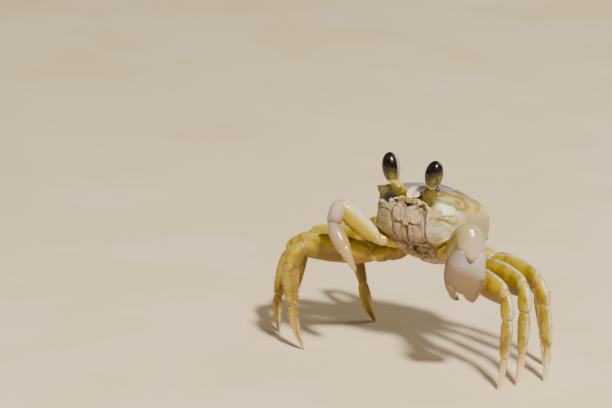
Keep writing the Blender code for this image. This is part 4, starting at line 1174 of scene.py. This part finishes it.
def hair_mark(piece, marks, brush):
    """How thickly bristles grow at each point of a leg piece."""
    edge = step_up(np.abs(marks["crest"]), 0.70, 0.95)
    along = marks["along"]
    if piece == "carpus":
        return 0.30 * edge * step_up(along, 0.3, 0.8)
    if piece == "propodus":
        flat = step_up(np.abs(marks["side"]), 0.3, 0.8)
        return np.clip((0.10 + 0.45 * brush) * edge + brush * 0.75 * flat, 0, 1)
    return np.clip((0.15 + 0.35 * brush) * edge + 0.4 * brush, 0, 1) * step_up(along, 0.97, 0.80)


coat_skins = {leg: [] for leg in LEG_JOINTS}
thigh_skins = []
joint_pads = []
for leg, points in LEG_JOINTS.items():
    joints = np.array(points)
    pair = leg[-1]
    outward = unit((joints[-1] - joints[1]) * (1, 1, 0))
    normal = np.cross(outward, (0, 0, 1))
    for k, piece in enumerate(LEG_PIECES):
        start, end = joints[k], joints[k + 1]
        start = start - unit(end - start) * (JOINT_INSET if k > 0 else BASE_INSET[pair])
        breadth, thick = LEG_GIRTHS[pair][k]
        if piece == "dactyl":
            breadth = breadth * TOE_BREADTH[pair]
        if leg == "leg_right_4" and k > 2:
            breadth = breadth * HIND_SHIN_BREADTH
        form = HIND_TOE_FORM if (leg, piece) == ("leg_right_4", "dactyl") else LEG_FORMS[k]
        grid, marks, axis = limb_grid(start, end, normal, form, breadth, thick, LEG_BOWS[k],
                                      crest_high=LEG_CRESTS[k], toe=piece == "dactyl")
        grid[..., 2] = np.maximum(grid[..., 2], 0.0)
        if k > 1:
            marks["hair"] = hair_mark(piece, marks, BRUSH[leg[4:]])
        marks["grain"] = step_up(np.abs(marks["crest"]), 0.90, 0.99) * step_up(marks["along"], 0.1, 0.25)
        # On the left legs' carpus and propodus the crest is raised, so they carry less painted shade.
        if leg.startswith("leg_left") and piece in ("carpus", "propodus"):
            marks["crest"] = 0.62 * marks["crest"] + 0.39
        made = skin(f"{leg}_{piece}_shell", grid, toe_shell if piece == "dactyl" else leg_shell, marks)
        mark_flow(made, axis)
        present(made, "leg_shell", f"{leg}_{piece}")
        if k > 1:
            coat_skins[leg].append(made)
        if piece == "merus":
            thigh_skins.append(made)
        if k > 0:
            size = PAD_SHARE * min(LEG_GIRTHS[pair][k - 1][1], breadth)
            joint_pads.append(joint_pad(joints[k], size))
pads = join("leg_joint_skin", joint_pads)
present(pads, "leg_shell")
print("legs:", len(LEG_JOINTS), "with", len(joint_pads), "joint pads")

# %% [markdown]
# ### The claw arms
# Both claws have the same five pieces, but the left one is far stouter. The hand carries the fixed
# finger, and the other finger hinges beside it, so both are tubes that share the hand's length. The
# outer face is broad and smooth with fine grains, and the cutting edges get teeth afterwards.

# %% Claw arms
CLAW_PLACES = {
    -1: ((-9.6, -11.4, 47.0), (-16.6, -18.8, 49.0), (-28.8, -26.4, 62.3), (-30.9, -29.0, 54.4),
         (-18.4, -30.8, 38.2)),
    1: ((9.6, -11.4, 47.0), (18.0, -17.7, 49.0), (31.6, -28.2, 63.3), (35.3, -30.6, 54.2),
        (29.2, -26.0, 33.5)),
}
CLAW_GIRTHS = {
    -1: {"base": (6.4, 5.8), "merus": (8.0, 6.4), "carpus": (7.4, 6.6), "palm": (9.6, 6.4)},
    1: {"base": (7.2, 6.4), "merus": (7.6, 6.8), "carpus": (10.8, 9.6), "palm": (16.2, 9.6)},
}
CLAW_FACING = {-1: np.array((-0.86, -0.51, 0.0)), 1: np.array((0.62, -0.78, 0.0))}
BIG_PALM_FORM = np.array((
    (-0.15, -0.02, 0.24, 0.16), (-0.12, -0.01, 0.32, 0.26), (-0.045, 0.00, 0.40, 0.36),
    (0.056, 0.03, 0.45, 0.43), (0.27, 0.04, 0.49, 0.48), (0.42, 0.035, 0.50, 0.50),
    (0.54, 0.02, 0.487, 0.49), (0.62, -0.01, 0.45, 0.47), (0.68, -0.06, 0.375, 0.44),
    (0.71, -0.125, 0.305, 0.42), (0.735, -0.19, 0.228, 0.39), (0.82, -0.19, 0.178, 0.33),
    (0.88, -0.205, 0.138, 0.27), (0.93, -0.222, 0.090, 0.20), (0.965, -0.235, 0.045, 0.10)))
BIG_FINGER_FORM = np.array((
    (0.48, 0.30, 0.11, 0.28), (0.55, 0.315, 0.182, 0.44), (0.62, 0.298, 0.178, 0.455),
    (0.68, 0.295, 0.145, 0.43), (0.73, 0.288, 0.118, 0.39), (0.82, 0.262, 0.088, 0.31),
    (0.88, 0.213, 0.075, 0.24), (0.915, 0.160, 0.064, 0.19), (0.945, 0.110, 0.032, 0.10)))
SMALL_PALM_FORM = np.array((
    (-0.06, 0.00, 0.22, 0.20), (0.0, 0.00, 0.36, 0.33), (0.08, 0.00, 0.45, 0.43),
    (0.22, 0.00, 0.49, 0.50), (0.38, 0.00, 0.50, 0.49), (0.54, -0.03, 0.48, 0.44),
    (0.60, -0.18, 0.30, 0.32), (0.70, -0.185, 0.24, 0.27), (0.80, -0.19, 0.20, 0.22),
    (0.88, -0.20, 0.15, 0.17), (0.95, -0.19, 0.10, 0.12), (1.0, -0.17, 0.05, 0.07)))
SMALL_FINGER_FORM = np.array((
    (0.44, 0.24, 0.12, 0.26), (0.50, 0.255, 0.175, 0.37), (0.58, 0.26, 0.17, 0.36),
    (0.70, 0.24, 0.15, 0.29), (0.80, 0.225, 0.125, 0.235), (0.88, 0.21, 0.10, 0.18),
    (0.95, 0.19, 0.07, 0.125), (1.0, 0.17, 0.035, 0.07)))
HAND_FORMS = {-1: (SMALL_PALM_FORM, SMALL_FINGER_FORM), 1: (BIG_PALM_FORM, BIG_FINGER_FORM)}
WRIST_NOTCH = 0.22


def claw_frame(side):
    """Wrist, hand length, way to the tips, way to the thumb and the outward face."""
    wrist, tip = (np.array(CLAW_PLACES[side][k]) for k in (3, 4))
    length = np.linalg.norm(tip - wrist)
    along = unit(tip - wrist)
    face = unit(CLAW_FACING[side] - along * (CLAW_FACING[side] @ along))
    inner = np.cross(along, face)
    return wrist, length, along, inner * (-np.sign(inner[0] * side)), face


def hand_grid(side, form, cutting, rows=96, columns=72):
    """The hand with its fixed finger, or the movable finger. cutting is the toothed edge's side."""
    wrist, length, along, inner, face = claw_frame(side)
    breadth, thick = CLAW_GIRTHS[side]["palm"]
    spots = np.linspace(form[0, 0], form[-1, 0], rows)
    shift, wide, deep = (smooth_line(form[:, 0], form[:, k], spots, 21) for k in (1, 2, 3))
    around = ring_angles(columns)
    across, out = rounded(np.cos(around), 2.3), rounded(np.sin(around), 2.3)
    body = (step_up(spots, form[0, 0], form[0, 0] + 0.15) * step_up(-spots, -0.99, -0.8))[:, None]
    swell = 1 + 0.05 * bell(across, 0.45, 0.25) * (out > 0) * body
    notch = bell(across, 0.0, 0.42) * step_up(-spots, -0.10, 0.06)[:, None] * (cutting > 0)
    middle = wrist + np.outer(spots * length, along) + np.outer(shift * breadth, inner)
    grid = (middle[:, None, :] + inner * (across * wide[:, None] * breadth)[..., None]
            + face * (out * deep[:, None] * thick * swell)[..., None]
            + along * (WRIST_NOTCH * breadth * notch)[..., None])
    teeth = step_up(across * cutting, 0.80, 0.97) * step_up(spots, 0.66, 0.74)[:, None] * (side > 0)
    outer_edge = step_up(-across * cutting, 0.90, 0.99) * step_up(spots, 0.10, 0.2)[:, None]
    pale_edge = across + step_up(spots, 0.30, 0.55)[:, None] if cutting > 0 else 0.3
    # Here crest gives the hand's inner face painted shade.
    marks = {"crest": 0.55 * out, "side": pale_edge, "along": np.clip(spots, 0.09, 0.92)[:, None],
             "grain": 0.9 * outer_edge, "teeth": teeth}
    return grid, marks, along


WRIST_ASIDE = np.array((0.9, 0.6, 0.0))
WRIST_LONGER = (1.4, 2.0)
PAD_RADII = (2.3, 1.9, 1.5)
BIG_PAD_SIZE = 1.25
SMALL_SEAM, SEAM_WIDTH = 0.585, 0.018
claw_skins = []
claw_pads = []
for side, claw in ((-1, "claw_right"), (1, "claw_left")):
    root, elbow, bend, wrist = (np.array(place) for place in CLAW_PLACES[side][:4])
    for piece, start, end, normal, form, bow, material in (
            ("base", root, elbow, (0, 0, 1), BASE_FORM, 0.0, arm_shell),
            ("merus", elbow, bend, (-0.3 * side, -0.7, 0.45), MERUS_FORM, 0.4, arm_shell),
            ("carpus", bend, wrist, CLAW_FACING[side], WRIST_FORM, 0.6,
             wrist_shell if side > 0 else small_wrist_shell)):
        breadth, thick = CLAW_GIRTHS[side][piece]
        onward = unit(end - start)
        if piece != "base":
            start = start - onward * JOINT_INSET
        if piece == "carpus" and side > 0:
            start = start - onward * WRIST_LONGER[0] + WRIST_ASIDE
            end = end + onward * WRIST_LONGER[1] + WRIST_ASIDE
        grid, marks, axis = limb_grid(start, end, normal, form, breadth, thick, bow, 64, 56, 0.10)
        marks["teeth"] = 0.0
        marks["grain"] = 0.5 * step_up(marks["along"], 0.1, 0.3) * step_up(np.abs(marks["crest"]), 0.8, 1)
        # These crest values move the painted highlight and painted shade on each arm piece.
        if piece == "base":
            marks["crest"] = 0.5 * marks["crest"] - 0.3
        if piece == "merus":
            marks["crest"] = -marks["crest"] if side < 0 else 0.4 * marks["crest"] - 0.35
        if piece == "carpus":
            marks["crest"] = 0.1 + 0.5 * marks["side"]
            marks["grain"] = 0.3 * marks["grain"]
        made = skin(f"{claw}_{piece}_shell", grid, material, marks)
        mark_flow(made, axis)
        present(made, "claw_hand_shell" if piece == "carpus" else "claw_arm_shell", f"{claw}_{piece}")
        claw_skins.append(made)
    for piece, form, cutting in zip(("palm", "finger"), HAND_FORMS[side], (1, -1)):
        grid, marks, axis = hand_grid(side, form, cutting)
        seam_at = SMALL_SEAM if cutting > 0 else form[0, 0] + 0.10
        marks["seam"] = 0.9 * bell(marks["along"], seam_at, SEAM_WIDTH) * (side < 0)
        made = skin(f"{claw}_{piece}_shell", grid, hand_shell if side > 0 else small_hand_shell, marks)
        mark_flow(made, axis)
        present(made, "claw_hand_shell", f"{claw}_{piece}")
        claw_skins.append(made)
    for place, radius in zip((elbow, bend, wrist), PAD_RADII):
        claw_pads.append(joint_pad(place, radius * (BIG_PAD_SIZE if side > 0 else 1.0)))
present(join("claw_joint_skin", claw_pads), "claw_arm_shell")
print("claw pieces:", len(claw_skins))

# %% [markdown]
# ## Geometry Nodes: what grows in numbers
# Bristles and grains are the same small shape repeated thousands of times over a surface. A node
# tree scatters points on a skin as thickly as a mark says, sets a shape on each, leans it and varies
# its size. Instances are made real at the end, because an export would drop them.

# %% Scatter tree
SQUARE_MM_IN_METRE = 1e6


def vector_math(tree, first, second, operation="ADD"):
    """The sum of two vectors, or with SCALE a vector times a number."""
    key = "Scale" if operation == "SCALE" else 1
    return add_node(tree, "ShaderNodeVectorMath", {0: first, key: second}, operation=operation).outputs[0]


def scatter_tree(name, shape_kind):
    """A node group that scatters bristles or grains over a mesh."""
    tree = bpy.data.node_groups.new(name, "GeometryNodeTree")
    face = tree.interface
    face.new_socket("Geometry", in_out="INPUT", socket_type="NodeSocketGeometry")
    for socket, kind, value in (("Count per square mm", "NodeSocketFloat", 2.0),
                                ("Length", "NodeSocketFloat", 0.001),
                                ("Radius", "NodeSocketFloat", 0.0001),
                                ("Lean", "NodeSocketFloat", 0.5),
                                ("Spread", "NodeSocketFloat", 0.3),
                                ("Seed", "NodeSocketInt", 1)):
        face.new_socket(socket, in_out="INPUT", socket_type=kind).default_value = value
    face.new_socket("Mark", in_out="INPUT", socket_type="NodeSocketString")
    face.new_socket("Finish", in_out="INPUT", socket_type="NodeSocketMaterial")
    face.new_socket("Geometry", in_out="OUTPUT", socket_type="NodeSocketGeometry")
    given = add_node(tree, "NodeGroupInput").outputs
    amount = add_node(tree, "GeometryNodeInputNamedAttribute", {0: given["Mark"]}, data_type="FLOAT")
    per_area = times(tree, given["Count per square mm"], SQUARE_MM_IN_METRE)
    spots = add_node(tree, "GeometryNodeDistributePointsOnFaces",
                     {"Mesh": given["Geometry"], "Density": times(tree, per_area, amount.outputs[0]),
                      "Seed": given["Seed"]}, distribute_method="RANDOM")
    flow = add_node(tree, "GeometryNodeInputNamedAttribute", {0: "flow"}, data_type="FLOAT_VECTOR")
    jitter = add_node(tree, "FunctionNodeRandomValue",
                      {0: (-1, -1, -1), 1: (1, 1, 1), "Seed": given["Seed"]}, data_type="FLOAT_VECTOR")
    leaning = vector_math(tree, flow.outputs[0], given["Lean"], "SCALE")
    spread = vector_math(tree, jitter.outputs[0], given["Spread"], "SCALE")
    way = vector_math(tree, vector_math(tree, spots.outputs["Normal"], leaning), spread)
    turned = add_node(tree, "FunctionNodeAlignRotationToVector", {"Vector": way}, axis="Z")
    size = add_node(tree, "FunctionNodeRandomValue", {2: 0.55, 3: 1.25, "Seed": given["Seed"]},
                    data_type="FLOAT")
    if shape_kind == "bristle":
        shape = add_node(tree, "GeometryNodeMeshCone",
                         {"Vertices": 3, "Side Segments": 1, "Radius Top": 0.0,
                          "Radius Bottom": given["Radius"], "Depth": given["Length"]},
                         fill_type="NGON")
    else:
        shape = add_node(tree, "GeometryNodeMeshIcoSphere",
                         {"Radius": given["Radius"], "Subdivisions": 1})
    placed = add_node(tree, "GeometryNodeInstanceOnPoints",
                      {"Points": spots.outputs["Points"], "Instance": shape.outputs["Mesh"],
                       "Rotation": turned.outputs[0], "Scale": size.outputs[1]})
    real = add_node(tree, "GeometryNodeRealizeInstances", {"Geometry": placed.outputs[0]})
    finished = add_node(tree, "GeometryNodeSetMaterial",
                        {"Geometry": real.outputs[0], "Material": given["Finish"]})
    add_node(tree, "NodeGroupOutput", {"Geometry": finished.outputs[0]})
    return tree


def socket_id(tree, name):
    return next(item.identifier for item in tree.interface.items_tree
                if item.name == name and item.in_out == "INPUT")


bristle_tree = scatter_tree("bristles over a shell", "bristle")
grain_tree = scatter_tree("grains over a shell", "grain")
print("scatter trees:", bristle_tree.name, "and", grain_tree.name)

# %% [markdown]
# ### Growing them
# Each leg's bristles become one plain mesh. The evaluated result replaces the tree, and every tuft
# gets its own small patch on a map, at the place where its root sits on the skin's own unwrap.

# %% Grow bristles and grains
TUFT_PATCH = 0.003


def root_places(mesh):
    """Where each point's root sits on its skin's unwrap."""
    flat = np.zeros(len(mesh.vertices) * 2, np.float32)
    if "root_place" in mesh.attributes:
        mesh.attributes["root_place"].data.foreach_get("vector", flat)
    return flat.reshape(-1, 2)


def copy_skins(sources):
    """Copies of skins, with their unwraps set side by side on one map."""
    copies = []
    for k, source in enumerate(sources):
        copy = set_out(source.name + "_copy", source.data.copy())
        copy.matrix_basis = source.matrix_basis
        places = root_places(copy.data) * 0.9 / len(sources) * (1, len(sources)) + (k / len(sources), 0)
        layer = copy.data.attributes["root_place"]
        layer.data.foreach_set("vector", places.astype(np.float32).reshape(-1))
        copies.append(copy)
    return copies


def grow(name, tree, sources, slot, **settings):
    """Runs a scatter tree over copies of skins and keeps the result as one plain mesh."""
    base = join(name + "_source", copy_skins(sources))
    modifier = base.modifiers.new("grow", "NODES")
    modifier.node_group = tree
    for key, value in settings.items():
        modifier[socket_id(tree, key.replace("_", " "))] = value
    bpy.context.view_layer.update()
    graph = bpy.context.evaluated_depsgraph_get()
    mesh = bpy.data.meshes.new_from_object(base.evaluated_get(graph))
    mesh.name = name
    bpy.data.objects.remove(base)
    corners = np.zeros(len(mesh.loops), np.int64)
    mesh.loops.foreach_get("vertex_index", corners)
    patch = np.stack((corners % 2, (corners // 2) % 2), 1) * TUFT_PATCH
    places = root_places(mesh)[corners] + patch
    for layer in list(mesh.uv_layers):
        mesh.uv_layers.remove(layer)
    unwrap = mesh.uv_layers.new(name="OFBake")
    unwrap.data.foreach_set("uv", places.astype(np.float32).reshape(-1))
    for key in ("root_place", "flow"):
        if key in mesh.attributes:
            mesh.attributes.remove(mesh.attributes[key])
    return present(set_out(name, mesh), slot)


for number, (leg, skins) in enumerate(coat_skins.items()):
    coat = grow(f"{leg}_bristles", bristle_tree, skins, "leg_shell", Mark="hair", Seed=11 + number,
                Count_per_square_mm=9.0, Length=0.0010, Radius=0.00007, Lean=1.1, Spread=0.45,
                Finish=straw_bristle)
    print(coat.name, len(coat.data.polygons), "faces")
fringe = grow("front_fringe", bristle_tree, [breastplate, *mouth_doors], "pale_underside_shell",
              Mark="hair", Seed=27, Count_per_square_mm=12.0, Length=0.0009, Radius=0.00006, Lean=1.6,
              Spread=0.5, Finish=brown_bristle)
print(fringe.name, len(fringe.data.polygons), "faces")
GRAINS = (
    # name, skins, slot, mark, seed, count per square mm, radius, material
    ("thigh_grains", thigh_skins, "leg_shell", "grain", 29, 3.0, 0.00011, leg_shell),
    ("claw_grains", claw_skins, "claw_hand_shell", "grain", 31, 2.0, 0.00010, grain_shell),
    ("carapace_grains", [carapace], "carapace_shell", "grain", 32, 2.4, 0.00012, shield_shell),
    ("claw_teeth", claw_skins, "claw_hand_shell", "teeth", 33, 1.6, 0.00032, grain_shell),
)
for name, skins, slot, key, seed, count, radius, finish in GRAINS:
    made = grow(name, grain_tree, skins, slot, Mark=key, Seed=seed, Count_per_square_mm=count,
                Radius=radius, Lean=0.0, Spread=0.2, Finish=finish)
    print(name, len(made.data.polygons), "faces")

# %% [markdown]
# ## Floor, light and camera
# The photo was taken with a long lens from the crab's left front, a little above it. A lens of 237 mm
# from 1.6 m away gives that flat view. The floor is plain and pale. A small strong lamp high on the
# right stands for the sun. Two weak soft lamps and a dim room keep the undersides readable.

# %% Stage, light and camera
PICTURE = (612, 408)
PIXELS_PER_MM = 2.52
FOOT_PIXEL = (438.0, 351.8)
VIEW_TURN, VIEW_DOWN = math.radians(37), math.radians(17)
FAR_AWAY = 1.6
SENSOR_MM = 36
LAMP_AIM = Vector((0, 0, 0.05))
ROOM_COLOUR = (1.0, 0.97, 0.92)
ROOM_STRENGTH = 0.13

right = Vector((math.cos(VIEW_TURN), math.sin(VIEW_TURN), 0))
ahead = Vector((-math.sin(VIEW_TURN) * math.cos(VIEW_DOWN), math.cos(VIEW_TURN) * math.cos(VIEW_DOWN),
                -math.sin(VIEW_DOWN)))
upward = right.cross(ahead)
camera_data = bpy.data.cameras.new("long lens")
camera = set_out("long lens", camera_data)
camera_data.sensor_width = SENSOR_MM
camera_data.lens = SENSOR_MM * FAR_AWAY / (PICTURE[0] / PIXELS_PER_MM * MM)
camera_data.clip_start = 0.01
aside = (PICTURE[0] / 2 - FOOT_PIXEL[0]) / PIXELS_PER_MM * MM
above = (FOOT_PIXEL[1] - PICTURE[1] / 2) / PIXELS_PER_MM * MM
camera.location = Vector(SLIDE) + right * aside + upward * above - ahead * FAR_AWAY
camera.rotation_mode = "QUATERNION"
camera.rotation_quaternion = Matrix((right, upward, -ahead)).transposed().to_quaternion()
bpy.context.scene.camera = camera


def make_floor():
    made, tree, shader = new_material("matte painted floor, pale")
    body = paint(tree, "E6D2AE", (ramp(tree, pattern(tree, 60.0), 0.3, 0.7), "DFC99F"))
    tree.links.new(body, shader.inputs["Base Color"])
    shader.inputs["Roughness"].default_value = 0.85
    mesh = bpy.data.meshes.new("floor")
    mesh.from_pydata([(-3, -3, 0), (3, -3, 0), (3, 3, 0), (-3, 3, 0)], [], [(0, 1, 2, 3)])
    mesh.materials.append(made)
    set_out("floor", mesh)


def lamp(name, place, size, watts, colour):
    """A square soft lamp that looks at the crab."""
    data = bpy.data.lights.new(name, "AREA")
    data.energy, data.size, data.color = watts, size, colour
    made = set_out(name, data)
    made.location = place
    made.rotation_euler = (LAMP_AIM - Vector(place)).to_track_quat("-Z", "Y").to_euler()


make_floor()
lamp("sun side", (0.95, -0.60, 1.30), 0.16, 64, (1.0, 0.94, 0.84))
lamp("sky fill", (-0.9, -0.6, 0.9), 1.2, 1, (0.92, 0.95, 1.0))
lamp("back light", (0.3, 1.0, 0.8), 0.8, 6, ROOM_COLOUR)
world = bpy.data.worlds.new("soft room")
world.use_nodes = True
world.node_tree.nodes["Background"].inputs[0].default_value = (*ROOM_COLOUR, 1.0)
world.node_tree.nodes["Background"].inputs[1].default_value = ROOM_STRENGTH
bpy.context.scene.world = world
print("camera lens", round(camera_data.lens), "mm")
